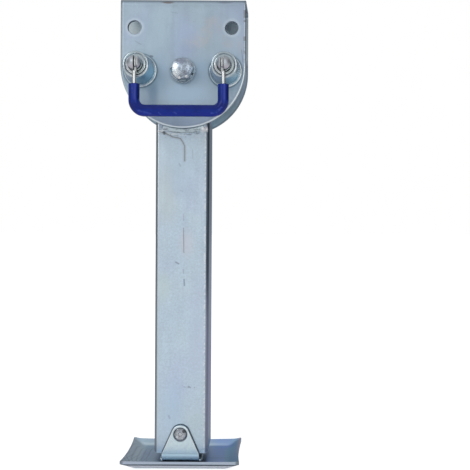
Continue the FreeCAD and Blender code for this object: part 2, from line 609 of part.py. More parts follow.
# ============================================================ output
os.makedirs("parts", exist_ok=True)
for name, shape in PARTS.items():
    for s in shape.Solids:
        assert s.isValid(), name
    shape.exportStep("parts/" + name + ".step")
    bb = shape.BoundBox
    print("%-22s solids %d  volume %9.1f  x %7.2f..%7.2f  y %7.2f..%7.2f  z %8.2f..%8.2f" % (
        name, len(shape.Solids), shape.Volume, bb.XMin, bb.XMax, bb.YMin, bb.YMax, bb.ZMin, bb.ZMax))
print(len(PARTS), "nodes")
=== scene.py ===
import bpy
import bmesh
import json
import math
from mathutils import Matrix, Vector, noise

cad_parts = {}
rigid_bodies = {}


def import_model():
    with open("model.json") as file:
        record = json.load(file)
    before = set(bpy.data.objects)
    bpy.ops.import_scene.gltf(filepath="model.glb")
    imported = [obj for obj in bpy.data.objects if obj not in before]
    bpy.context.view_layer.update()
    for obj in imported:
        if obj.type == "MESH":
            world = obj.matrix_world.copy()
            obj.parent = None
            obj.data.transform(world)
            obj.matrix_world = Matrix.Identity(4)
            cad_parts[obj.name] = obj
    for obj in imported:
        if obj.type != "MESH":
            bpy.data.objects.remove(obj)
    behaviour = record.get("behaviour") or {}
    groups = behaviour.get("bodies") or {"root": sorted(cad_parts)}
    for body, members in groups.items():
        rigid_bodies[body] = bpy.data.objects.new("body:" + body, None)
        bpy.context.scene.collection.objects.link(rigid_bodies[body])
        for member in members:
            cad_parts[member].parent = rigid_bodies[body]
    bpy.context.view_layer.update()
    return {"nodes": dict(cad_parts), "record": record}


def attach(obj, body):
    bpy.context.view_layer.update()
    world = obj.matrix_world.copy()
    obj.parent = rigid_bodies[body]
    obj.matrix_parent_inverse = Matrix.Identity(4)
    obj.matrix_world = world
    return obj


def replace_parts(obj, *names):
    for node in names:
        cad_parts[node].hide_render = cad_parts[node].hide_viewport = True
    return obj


# Drop-down stabiliser leg: looks only. Metres, origin at the centre of the
# head bracket's top face, +Z up, -Y towards the pull handle.

for old in list(bpy.data.objects):
    bpy.data.objects.remove(old)

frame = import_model()
NODES = frame["nodes"]

FLOOR_Z = -0.4382
PIVOT_Z = -0.0673


# ------------------------------------------------------------------ node helper
class Mat:
    """A small helper that builds a node material."""

    def __init__(self, name):
        self.m = bpy.data.materials.new(name)
        self.m.use_nodes = True
        self.t = self.m.node_tree
        self.t.nodes.clear()
        self.out = self.t.nodes.new("ShaderNodeOutputMaterial")
        self.bsdf = self.t.nodes.new("ShaderNodeBsdfPrincipled")
        self.t.links.new(self.bsdf.outputs[0], self.out.inputs[0])
        tc = self.t.nodes.new("ShaderNodeTexCoord")
        self.p = tc.outputs["Object"]
        sep = self.t.nodes.new("ShaderNodeSeparateXYZ")
        self.t.links.new(self.p, sep.inputs[0])
        self.x, self.y, self.z = sep.outputs[0], sep.outputs[1], sep.outputs[2]
        geo = self.t.nodes.new("ShaderNodeNewGeometry")
        vt = self.t.nodes.new("ShaderNodeVectorTransform")
        vt.vector_type = "NORMAL"
        vt.convert_from = "WORLD"
        vt.convert_to = "OBJECT"
        self.t.links.new(geo.outputs["True Normal"], vt.inputs[0])
        sn = self.t.nodes.new("ShaderNodeSeparateXYZ")
        self.t.links.new(vt.outputs[0], sn.inputs[0])
        self.nx, self.ny, self.nz = sn.outputs[0], sn.outputs[1], sn.outputs[2]

    def put(self, socket, value):
        if isinstance(value, bpy.types.NodeSocket):
            self.t.links.new(value, socket)
        elif isinstance(value, (tuple, list)) and socket.type == "RGBA":
            socket.default_value = (*value[:3], 1.0)
        else:
            socket.default_value = value

    def math(self, op, a, b=None, c=None, clamp=False):
        n = self.t.nodes.new("ShaderNodeMath")
        n.operation = op
        n.use_clamp = clamp
        for i, v in enumerate((a, b, c)):
            if v is not None:
                self.put(n.inputs[i], v)
        return n.outputs[0]

    def add(self, *v):
        r = v[0]
        for w in v[1:]:
            r = self.math("ADD", r, w)
        return r

    def mul(self, *v):
        r = v[0]
        for w in v[1:]:
            r = self.math("MULTIPLY", r, w)
        return r

    def sub(self, a, b):
        return self.math("SUBTRACT", a, b)

    def vec(self, x, y, z):
        n = self.t.nodes.new("ShaderNodeCombineXYZ")
        for i, v in enumerate((x, y, z)):
            self.put(n.inputs[i], v)
        return n.outputs[0]

    def scaled(self, sx, sy, sz, shift=(0, 0, 0)):
        n = self.t.nodes.new("ShaderNodeVectorMath")
        n.operation = "MULTIPLY_ADD"
        self.t.links.new(self.p, n.inputs[0])
        n.inputs[1].default_value = (sx, sy, sz)
        n.inputs[2].default_value = shift
        return n.outputs[0]

    def noise(self, scale, detail=2.0, rough=0.5, vec=None, distortion=0.0, lac=2.0, kind="FBM"):
        n = self.t.nodes.new("ShaderNodeTexNoise")
        n.noise_dimensions = "3D"
        n.noise_type = kind
        self.put(n.inputs["Vector"], vec if vec is not None else self.p)
        n.inputs["Scale"].default_value = scale
        n.inputs["Detail"].default_value = detail
        n.inputs["Roughness"].default_value = rough
        n.inputs["Lacunarity"].default_value = lac
        n.inputs["Distortion"].default_value = distortion
        return n.outputs[0]

    def voronoi(self, scale, vec=None, feature="F1", randomness=1.0, out="Distance"):
        n = self.t.nodes.new("ShaderNodeTexVoronoi")
        n.feature = feature
        self.put(n.inputs["Vector"], vec if vec is not None else self.p)
        n.inputs["Scale"].default_value = scale
        n.inputs["Randomness"].default_value = randomness
        return n.outputs[out]

    def step(self, v, lo, hi, a=0.0, b=1.0):
        """Smooth step of v from lo to hi, mapped to a..b."""
        n = self.t.nodes.new("ShaderNodeMapRange")
        n.interpolation_type = "SMOOTHSTEP"
        n.clamp = True
        self.put(n.inputs["Value"], v)
        n.inputs["From Min"].default_value = lo
        n.inputs["From Max"].default_value = hi
        n.inputs["To Min"].default_value = a
        n.inputs["To Max"].default_value = b
        return n.outputs[0]

    def lerp(self, v, lo, hi, a=0.0, b=1.0):
        n = self.t.nodes.new("ShaderNodeMapRange")
        n.clamp = True
        self.put(n.inputs["Value"], v)
        n.inputs["From Min"].default_value = lo
        n.inputs["From Max"].default_value = hi
        n.inputs["To Min"].default_value = a
        n.inputs["To Max"].default_value = b
        return n.outputs[0]

    def mix(self, fac, a, b, kind="MIX"):
        n = self.t.nodes.new("ShaderNodeMix")
        n.data_type = "RGBA"
        n.blend_type = kind
        n.clamp_factor = True
        self.put(n.inputs[0], fac)
        self.put(n.inputs[6], a)
        self.put(n.inputs[7], b)
        return n.outputs[2]

    def mixf(self, fac, a, b):
        n = self.t.nodes.new("ShaderNodeMix")
        n.data_type = "FLOAT"
        n.clamp_factor = True
        self.put(n.inputs[0], fac)
        self.put(n.inputs[2], a)
        self.put(n.inputs[3], b)
        return n.outputs[0]

    def bump(self, height, strength, distance=0.0005, normal=None):
        n = self.t.nodes.new("ShaderNodeBump")
        self.put(n.inputs["Height"], height)
        n.inputs["Strength"].default_value = strength
        n.inputs["Distance"].default_value = distance
        if normal is not None:
            self.put(n.inputs["Normal"], normal)
        return n.outputs[0]

    def near(self, x, z, r_in, r_out, a=1.0, b=0.0):
        """1 within r_in of the line along Y through (x, z), falling to 0 at r_out."""
        dx = self.sub(self.x, x)
        dz = self.sub(self.z, z)
        d = self.math("SQRT", self.add(self.mul(dx, dx), self.mul(dz, dz)))
        return self.step(d, r_in, r_out, a, b)

    def radius(self, x, z):
        dx = self.sub(self.x, x)
        dz = self.sub(self.z, z)
        return self.math("SQRT", self.add(self.mul(dx, dx), self.mul(dz, dz)))

    def stroke(self, pts, w_in, w_out, wobble=None):
        """1 on a polyline of (x, z) points, falling to 0 at w_out from it."""
        best = None
        px, pz = self.x, self.z
        if wobble is not None:
            px, pz = self.add(px, wobble), self.add(pz, wobble)
        for (ax, az), (bx, bz) in zip(pts[:-1], pts[1:]):
            dx, dz = bx - ax, bz - az
            ll = dx * dx + dz * dz
            rx, rz = self.sub(px, ax), self.sub(pz, az)
            t = self.math("DIVIDE", self.add(self.mul(rx, dx), self.mul(rz, dz)), ll, clamp=True)
            ex, ez = self.sub(rx, self.mul(t, dx)), self.sub(rz, self.mul(t, dz))
            d = self.math("SQRT", self.add(self.mul(ex, ex), self.mul(ez, ez)))
            best = d if best is None else self.math("MINIMUM", best, d)
        return self.step(best, w_in, w_out, 1.0, 0.0)

    def finish(self, colour, rough, metallic=1.0, normal=None, coat=0.0, coat_rough=0.1, ior=None, specular=None):
        self.put(self.bsdf.inputs["Base Color"], colour)
        self.put(self.bsdf.inputs["Roughness"], rough)
        self.put(self.bsdf.inputs["Metallic"], metallic)
        if normal is not None:
            self.put(self.bsdf.inputs["Normal"], normal)
        if coat:
            self.bsdf.inputs["Coat Weight"].default_value = coat
            self.bsdf.inputs["Coat Roughness"].default_value = coat_rough
        if ior is not None:
            self.bsdf.inputs["IOR"].default_value = ior
        if specular is not None:
            self.bsdf.inputs["Specular IOR Level"].default_value = specular
        return self.m


def dress(node, material):
    o = NODES[node]
    o.data.materials.clear()
    o.data.materials.append(material)


# ------------------------------------------------------------------ sizes used by the looks
HALF = 0.05875              # front plate's half-width and round end
ARC_Z = -0.12085 + HALF     # centre of the round end
LOCK_X = 0.0399
FRAME_X, FRAME_Z = 0.0454, -0.0269
TUBE_L, TUBE_R = -0.0259, 0.0249
PIN_X, PIN_Z = -0.001, -0.4088
EAR_R = 0.0085
EAR_NX, EAR_NZ = 0.9121, 0.4101          # outward normal of the ear's right-hand side


def on(u, v, y):
    """X and Z, on the plane Y = y, of a mark that the reference view shows at image point (u, v)."""
    t = math.radians(0.30)
    du, dv = u - 262.0, v - 225.0
    a, b = du * math.cos(t) + dv * math.sin(t), -du * math.sin(t) + dv * math.cos(t)
    k = (0.902 + y) / 928.3
    return 0.0748 + a * k, -0.2114 - b * k


def line(pts, y):
    return [on(u, v, y) for u, v in pts]


# ------------------------------------------------------------------ materials
def blob(m, x, z, rx, rz, soft=0.5, rag=None, amount=1.0):
    """A soft ellipse in the XZ plane; rag is a noise that makes its edge ragged."""
    dx = m.mul(m.sub(m.x, x), 1.0 / rx)
    dz = m.mul(m.sub(m.z, z), 1.0 / rz)
    d = m.math("SQRT", m.add(m.mul(dx, dx), m.mul(dz, dz)))
    if rag is not None:
        d = m.add(d, rag)
    return m.step(d, 1.0 - soft, 1.0 + soft, amount, 0.0)


def zinc(name, tints, rough=0.36, streak=(1, 1, 0.05), streak_amount=0.05, grain=0.25, mottling=0.06, metallic=1.0,
         extra=None, seed=0.0, bump=None, grazing=(0.7, 0.72, 0.75), speckle=0.05):
    """Zinc plating with a blue passivate. tints are three colours that drift over the surface."""
    m = Mat(name)
    sh = (seed * 1.7, seed * 0.9, seed * 2.3)
    big = m.noise(1.0, 3, 0.55, m.scaled(14, 14, 9, sh))
    mid = m.noise(1.0, 4, 0.6, m.scaled(70, 70, 55, sh))
    fine = m.noise(1.0, 3, 0.6, m.scaled(900, 900, 900, sh))
    st = m.noise(1.0, 4, 0.65, m.scaled(260 * streak[0], 260 * streak[1], 260 * streak[2], sh))
    colour = m.mix(m.step(big, 0.34, 0.66), tints[0], tints[1])
    hue = m.noise(1.0, 2, 0.5, m.scaled(22, 22, 14, (sh[0] + 5, sh[1], sh[2])))
    colour = m.mix(m.step(hue, 0.5, 0.72), colour, tints[2])
    hue2 = m.noise(1.0, 3, 0.6, m.scaled(31, 31, 19, (sh[0] + 9, sh[1] + 3, sh[2])))
    colour = m.mix(m.step(hue2, 0.56, 0.76, 0.0, 0.35), colour,
                   tuple(c * k for c, k in zip(tints[0], (1.10, 1.03, 0.93))))
    # short scuffs from handling, lighter than the plating around them
    sc = m.noise(1.0, 2, 0.5, m.scaled(55, 55, 480, (sh[0] + 2, sh[1] + 8, sh[2])))
    scuff = m.mul(m.step(sc, 0.70, 0.80), m.step(mid, 0.45, 0.62))
    value = m.add(1.0, m.mul(m.sub(mid, 0.5), mottling * 2.2), m.mul(m.sub(st, 0.5), streak_amount * 2.2),
                  m.mul(m.sub(fine, 0.5), 0.12), m.mul(scuff, 0.06))
    colour = m.mix(1.0, colour, m.vec(value, value, value), "MULTIPLY")
    # crystalline speckle of the plating
    sk = m.noise(1.0, 3, 0.7, m.scaled(460, 460, 460, (sh[0], sh[1] + 4, sh[2] + 6)))
    tone = m.add(1.0, m.mul(m.sub(sk, 0.5), speckle * 2.4))
    colour = m.mix(1.0, colour, m.vec(tone, tone, tone), "MULTIPLY")
    # sparse dull specks
    sp = m.voronoi(150.0, m.scaled(1, 1, 1, sh))
    speck = m.mul(m.step(sp, 0.10, 0.05), m.step(big, 0.50, 0.62))
    colour = m.mix(m.mul(speck, 0.30), colour, tuple(c * 0.55 for c in tints[0]))
    r = m.add(rough, m.mul(m.sub(mid, 0.5), 0.12), m.mul(m.sub(st, 0.5), 0.12), m.mul(speck, 0.15))
    h = m.add(m.mul(fine, 0.6), m.mul(mid, 0.5), m.mul(st, 0.5))
    m.mid, m.fine, m.st, m.big = mid, fine, st, big
    if extra is not None:
        colour, r = extra(m, colour, r)
    normal = m.bump(h, grain, 0.0002)
    if bump is not None:
        normal = bump(m, normal)
    m.bsdf.inputs["Specular Tint"].default_value = (*grazing, 1.0)
    return m.finish(colour, r, metallic, normal)


PLATE = ((0.415, 0.525, 0.625), (0.445, 0.555, 0.64), (0.415, 0.50, 0.645))
TUBE = ((0.627, 0.759, 0.895), (0.667, 0.80, 0.89), (0.634, 0.74, 0.915))
FOOT = ((0.50, 0.65, 0.82), (0.54, 0.68, 0.83), (0.51, 0.62, 0.85))


def plate_extra(m, colour, r):
    y = -0.032
    front = m.step(m.y, -0.0300, -0.0314)
    rag = m.mul(m.sub(m.noise(1.0, 4, 0.65, m.scaled(190, 190, 190)), 0.5), 1.7)
    rag2 = m.mul(m.sub(m.noise(1.0, 3, 0.6, m.scaled(60, 60, 60, (4, 1, 7))), 0.5), 0.9)

    def paint(mask, to, amount):
        nonlocal colour
        colour = m.mix(m.mul(mask, front, amount), colour, to)

    x, z = on(184, 38, y)
    paint(blob(m, x, z, 0.0120, 0.022, 0.7, rag2), (0.405, 0.475, 0.71), 0.55)
    x, z = on(160, 40, y)
    paint(blob(m, x, z, 0.020, 0.030, 0.7, rag2), (0.45, 0.59, 0.70), 0.5)
    x, z = on(182, 93, y)
    paint(blob(m, x, z, 0.026, 0.011, 0.6, rag2), (0.475, 0.635, 0.79), 0.75)
    x, z = on(201, 70, y)
    paint(blob(m, x, z, 0.0105, 0.012, 0.7, rag2), (0.35, 0.50, 0.67), 0.50)
    x, z = on(162, 70, y)
    paint(blob(m, x, z, 0.0075, 0.015, 0.7, rag2), (0.37, 0.51, 0.67), 0.45)
    # painted shade: a narrow darker band on the plate below and right of the left housing
    x, z = on(153.0, 94, y)
    paint(blob(m, x, z, 0.0042, 0.013, 0.7), (0.27, 0.38, 0.51), 0.75)
    x, z = on(187, 121.5, y)
    paint(blob(m, x, z, 0.034, 0.0075, 0.5), (0.50, 0.62, 0.76), 0.65)
    x, z = on(228, 62, y)
    paint(blob(m, x, z, 0.017, 0.048, 0.6, rag2), (0.46, 0.575, 0.69), 0.70)
    drift = m.step(m.noise(1.0, 3, 0.6, m.scaled(120, 120, 120, (8, 2, 2))), 0.36, 0.58, 0.35, 1.0)
    for u, v, rx, rz, k in ((213, 25, 0.0085, 0.0075, 0.55), (197, 41, 0.0105, 0.0060, 0.58), (206, 34, 0.006, 0.006, 0.35),
                            (229, 41, 0.0080, 0.0060, 0.40), (240, 44, 0.003, 0.008, 0.3)):
        x, z = on(u, v, y)
        paint(m.mul(blob(m, x, z, rx, rz, 0.55, rag), drift), (0.53, 0.55, 0.59), k)
    # worn, lighter rings round the frame-bolt holes with a darker rim just inside them; painted shade: a dark outline
    # under each housing's flange with a darker band round it
    for sx in (-1, 1):
        d = m.radius(sx * FRAME_X, FRAME_Z)
        ring = m.mul(m.step(d, 0.0100, 0.0074), m.step(m.add(d, m.mul(rag, 0.0008)), 0.0058, 0.0070))
        paint(ring, (0.60, 0.70, 0.79), 0.55)
        paint(m.mul(m.step(d, 0.0072, 0.0064), 1.0), (0.34, 0.40, 0.48), 0.45)
        d = m.radius(sx * LOCK_X, -0.0673)
        paint(m.step(d, 0.0171, 0.0158), (0.10, 0.15, 0.20), 0.82)
        paint(m.mul(m.step(d, 0.0215, 0.0160), 0.5), (0.33, 0.46, 0.56), 0.6)
    # painted shade: a darker ring round the pivot washer
    d = m.radius(0.0, -0.0673)
    paint(m.step(d, 0.0140, 0.0122), (0.27, 0.37, 0.46), 0.5)
    # painted highlight: the rolled blanked edge is painted bright, more so towards the right, with a dull line just
    # inside it
    arc = m.radius(0.0, ARC_Z)
    low = m.step(m.z, ARC_Z + 0.004, ARC_Z - 0.002)
    edge = m.mul(m.step(arc, 0.0569, 0.0576), low)
    side = m.mul(m.step(m.math("ABSOLUTE", m.x), 0.0571, 0.0577), m.sub(1.0, low))
    rb = m.step(m.y, -0.0296, -0.0306)
    lean = m.step(m.x, -0.052, -0.020, 0.25, 1.0)
    colour = m.mix(m.mul(edge, rb, lean, 0.85), colour, (0.80, 0.88, 0.93))
    colour = m.mix(m.mul(side, rb, 0.35), colour, (0.52, 0.58, 0.64))
    inner = m.mul(m.step(arc, 0.0548, 0.0560), m.step(arc, 0.0574, 0.0566), low)
    paint(inner, (0.34, 0.43, 0.52), 0.30)
    dash = m.mul(m.step(m.x, 0.0560, 0.0572), m.step(m.noise(1.0, 2, 0.5, m.scaled(60, 60, 260, (2, 2, 9))), 0.50, 0.60), m.step(m.z, -0.060, -0.050))
    colour = m.mix(m.mul(dash, 0.60), colour, (0.17, 0.16, 0.16))
    # cut edges of the sheet are greyer, with fine drag lines
    cut = m.mul(m.step(m.math("ABSOLUTE", m.ny), 0.55, 0.30), m.step(m.z, -0.0030, -0.0060))
    drag = m.noise(1.0, 2, 0.5, m.scaled(40, 900, 40))
    colour = m.mix(m.mul(cut, 0.7), colour, m.mix(drag, (0.24, 0.27, 0.31), (0.44, 0.48, 0.52)))
    # painted shade: the outside of the fold is darkened, darkest along the top; smudges along it
    fold = m.mul(m.step(m.z, -0.0100, -0.0030), m.step(m.y, -0.0200, -0.0290))
    colour = m.mix(m.mul(fold, 0.45), colour, (0.33, 0.41, 0.49))
    top = m.step(m.z, -0.0034, -0.0010)
    colour = m.mix(m.mul(top, m.step(m.y, -0.0200, -0.0290), 0.62), colour, (0.20, 0.25, 0.30))
    x, z = on(167.5, 2.2, y)
    paint(blob(m, x, z, 0.0055, 0.0012, 0.5, m.mul(rag, 0.5)), (0.20, 0.15, 0.13), 0.75)
    x, z = on(225, 2.4, y)
    paint(blob(m, x, z, 0.0065, 0.0010, 0.5, m.mul(rag, 0.5)), (0.22, 0.26, 0.31), 0.6)
    # nicks beside the left housing, and a few small scratches
    for pts, w, k in ((((147.6, 56.6), (151.2, 60.2), (154.0, 64.5)), 0.0004, 0.75), (((150.6, 56.0), (152.4, 56.4)), 0.0006, 0.65),
                      (((246.6, 13.5), (247.4, 18.5)), 0.0005, 0.6), (((241.5, 50.0), (243.0, 62.0)), 0.0003, 0.35),
                      (((135.0, 41.0), (141.0, 44.5)), 0.0003, 0.25), (((171.0, 12.0), (178.0, 13.2)), 0.0003, 0.22)):
        paint(m.stroke(line(pts, y), w * 0.5, w * 2.0, m.mul(rag, 0.0002)), (0.10, 0.13, 0.17), k)
    # dark thin line down the left edge, and a lighter one just inside it
    sides = m.mul(m.step(m.x, -0.0568, -0.0574), m.step(m.z, ARC_Z - 0.012, ARC_Z + 0.002))
    paint(sides, (0.21, 0.24, 0.27), 0.70)
    paint(m.mul(m.step(m.x, -0.0556, -0.0561), m.step(m.x, -0.0570, -0.0566), m.step(m.z, ARC_Z - 0.012, ARC_Z + 0.002)), (0.56, 0.66, 0.74), 0.5)
    # painted shade: dark crescent in the rim of the left frame-bolt hole
    dl = m.radius(-FRAME_X, FRAME_Z)
    lean2 = m.step(m.sub(m.mul(m.sub(m.x, -FRAME_X), -1.0), m.mul(m.sub(m.z, FRAME_Z), -1.0)), -0.0005, 0.0060)
    paint(m.mul(m.step(dl, 0.0071, 0.0066), lean2), (0.10, 0.13, 0.16), 0.85)
    # painted light and shade on the inner face of the rear plate: brighter where light comes in through the frame-bolt
    # holes, darker lower down and along its round edge
    back_in = m.mul(m.step(m.y, 0.0275, 0.0283), m.step(m.y, 0.0305, 0.0292))
    colour = m.mix(m.mul(back_in, m.step(m.z, -0.055, -0.045), 1.0), colour, (0.86, 0.98, 1.0))
    colour = m.mix(m.mul(back_in, m.step(m.z, -0.085, -0.110), 0.65), colour, (0.46, 0.61, 0.68))
    arc2 = m.radius(0.0, -0.12085 + 0.060)
    colour = m.mix(m.mul(back_in, m.step(arc2, 0.0580, 0.0592), 0.5), colour, (0.20, 0.24, 0.28))
    return colour, r


def tube_extra(m, colour, r):
    y = -0.0254
    front = m.step(m.y, -0.0235, -0.0250)
    rag = m.mul(m.sub(m.noise(1.0, 4, 0.65, m.scaled(420, 420, 420)), 0.5), 1.0)
    rag2 = m.mul(m.sub(m.noise(1.0, 3, 0.6, m.scaled(45, 45, 30, (4, 1, 7))), 0.5), 0.9)

    def paint(mask, to, amount, where=front):
        nonlocal colour
        colour = m.mix(m.mul(mask, where, amount), colour, to)

    for u, v, rx, rz, to, k in (
            (166, 194, 0.009, 0.030, (0.53, 0.60, 0.62), 0.6), (186, 243, 0.006, 0.011, (0.55, 0.56, 0.63), 0.55),
            (172, 408, 0.010, 0.022, (0.43, 0.56, 0.72), 0.55), (163, 288, 0.006, 0.012, (0.51, 0.61, 0.61), 0.5),
            (198, 345, 0.007, 0.030, (0.48, 0.55, 0.69), 0.4), (180, 160, 0.017, 0.022, (0.445, 0.55, 0.65), 0.5),
            (183, 187, 0.012, 0.012, (0.44, 0.54, 0.67), 0.35), (196, 420, 0.009, 0.012, (0.49, 0.59, 0.63), 0.45)):
        x, z = on(u, v, y)
        paint(blob(m, x, z, rx, rz, 0.75, rag2), tuple(min(1.0, c * 1.32) for c in to), k)
    # painted shade on the drawn corners: a dull dark line down the left ones with a lighter band inside it, a dark band
    # down the right front one, darkest near the top, with a beaded lighter edge
    xr = m.add(m.x, m.mul(rag, 0.0005))
    left = m.step(xr, -0.0233, -0.0240)
    paint(left, (0.225, 0.245, 0.275), 0.90, m.step(m.y, -0.0180, -0.0215))
    paint(m.mul(m.step(m.x, -0.0222, -0.0227), m.step(m.x, -0.0237, -0.0232)), (0.68, 0.76, 0.82), 0.6)
    dark = m.mul(m.step(xr, 0.0216, 0.0222), m.step(m.x, 0.0250, 0.02455))
    tone = m.mix(m.step(m.z, -0.315, -0.245), (0.22, 0.235, 0.32), (0.040, 0.056, 0.082))
    paint(m.mul(dark, 0.94), tone, 1.0, m.step(m.y, -0.0150, -0.0190))
    rim = m.mul(m.step(m.add(m.x, m.mul(rag, 0.0022)), 0.0195, 0.0212), m.step(xr, 0.0219, 0.0214))
    beads = m.step(m.noise(1.0, 3, 0.6, m.scaled(330, 330, 420)), 0.44, 0.58)
    paint(m.mul(rim, beads), (0.96, 0.98, 1.0), 0.55)
    paint(m.mul(rim, m.sub(1.0, beads)), (0.50, 0.58, 0.62), 0.30)
    # painted shade: the right side wall darker, and violet lower down
    wall = m.step(m.nx, 0.80, 0.95)
    colour = m.mix(m.mul(wall, 0.60), colour, (0.36, 0.41, 0.48))
    colour = m.mix(m.mul(wall, m.step(m.z, -0.300, -0.345), m.step(m.z, -0.415, -0.395), 0.65), colour, (0.43, 0.42, 0.62))
    # stains: a run below the weld, fine lines further down, small spots
    run = ((158.5, 131.3), (163.9, 132.5), (168.5, 134.7), (172.8, 136.9), (178.3, 138.0), (180.5, 138.6), (182.8, 142.0), (184.7, 146.2), (184.7, 160.8))
    paint(m.stroke(line(run, y), 0.00015, 0.00072, m.mul(rag, 0.0005)), (0.13, 0.13, 0.125), 0.78)
    paint(m.stroke(line(run, y), 0.0005, 0.0026, m.mul(rag, 0.0006)), (0.42, 0.46, 0.50), 0.35)
    for pts, w, to, k in (
            (((164.0, 132.4), (164.4, 133.4)), 0.0009, (0.05, 0.05, 0.06), 0.85),
            (((183.4, 228.0), (183.6, 240.0), (183.9, 252.5)), 0.0003, (0.24, 0.22, 0.25), 0.62),
            (((183.4, 214.0), (183.5, 220.5)), 0.0003, (0.40, 0.42, 0.50), 0.40),
            (((175.8, 262.2), (178.6, 263.8)), 0.0005, (0.22, 0.27, 0.36), 0.60),
            (((184.0, 279.5), (184.3, 285.5)), 0.0005, (0.22, 0.27, 0.36), 0.62),
            (((183.3, 269.5), (183.5, 273.5)), 0.0004, (0.36, 0.42, 0.50), 0.45),
            (((179.4, 164.0), (180.6, 166.0)), 0.0006, (0.36, 0.42, 0.50), 0.40),
            (((192.5, 150.0), (192.7, 158.0)), 0.0005, (0.42, 0.46, 0.54), 0.35),
            (((180.8, 190.5), (182.6, 191.2)), 0.0004, (0.36, 0.42, 0.50), 0.35),
            (((168.6, 416.0), (169.6, 418.0)), 0.0007, (0.40, 0.42, 0.60), 0.45)):
        paint(m.stroke(line(pts, y), w * 0.4, w * 2.2, m.mul(rag, 0.0003)), to, k)
    dots = m.step(m.noise(1.0, 2, 0.5, m.scaled(500, 500, 500)), 0.47, 0.58)
    paint(m.mul(m.stroke(line(((183.0, 386.3), (195.5, 387.8)), y), 0.0003, 0.0013), dots), (0.24, 0.28, 0.36), 0.60)
    # heat marks and spatter beside and under the weld
    x, z = on(182, 130.2, y)
    zone = blob(m, x, z, 0.0248, 0.0048, 0.25, m.mul(rag, 0.25))
    crinkle = m.noise(1.0, 4, 0.7, m.scaled(170, 170, 620, (1, 5, 3)))
    paint(m.mul(zone, m.step(crinkle, 0.53, 0.60)), (0.22, 0.28, 0.33), 0.75)
    paint(m.mul(zone, m.step(crinkle, 0.46, 0.40)), (0.95, 1.0, 1.0), 0.70)
    x, z = on(204.3, 129.0, y)
    paint(blob(m, x, z, 0.0028, 0.0026, 0.4, m.mul(rag, 0.5)), (1.0, 1.0, 1.0), 0.90)
    # dark speckle close under the weld
    x, z = on(182, 134, y)
    sp = m.step(m.noise(1.0, 3, 0.6, m.scaled(700, 700, 900)), 0.60, 0.68)
    paint(m.mul(blob(m, x, z, 0.024, 0.0045, 0.5), sp), (0.14, 0.17, 0.21), 0.65)
    # painted shadow: a dark line on the tube round the ear's outline
    dx = m.math("ABSOLUTE", m.sub(m.x, PIN_X))
    dz = m.sub(m.z, PIN_Z)
    dot = m.add(m.mul(dx, EAR_NX), m.mul(dz, EAR_NZ))
    rad = m.radius(PIN_X, PIN_Z)
    sector = m.math("GREATER_THAN", m.mul(dz, EAR_NX), m.mul(dx, EAR_NZ))
    d = m.mixf(sector, dot, rad)
    paint(m.mul(m.step(d, EAR_R + 0.0012, EAR_R + 0.0004), m.step(m.z, -0.430, -0.4262)), (0.07, 0.10, 0.15), 0.80)
    # dark right-hand speckle at the lower end, a lighter band along the bottom end, and painted shade on the inside of
    # the tube
    sp2 = m.step(m.noise(1.0, 3, 0.6, m.scaled(520, 520, 700, (3, 3, 3))), 0.63, 0.70)
    x, z = on(200, 436, y)
    paint(m.mul(blob(m, x, z, 0.0075, 0.017, 0.6), sp2), (0.20, 0.26, 0.34), 0.55)
    paint(m.step(m.z, -0.4261, -0.4270), (0.62, 0.66, 0.70), 0.5)
    inside = m.mul(m.step(m.math("ABSOLUTE", m.sub(m.x, -0.0005)), 0.0231, 0.0226), m.step(m.math("ABSOLUTE", m.y), 0.0231, 0.0226))
    colour = m.mix(m.mul(inside, 0.45), colour, (0.30, 0.33, 0.36))
    return colour, r


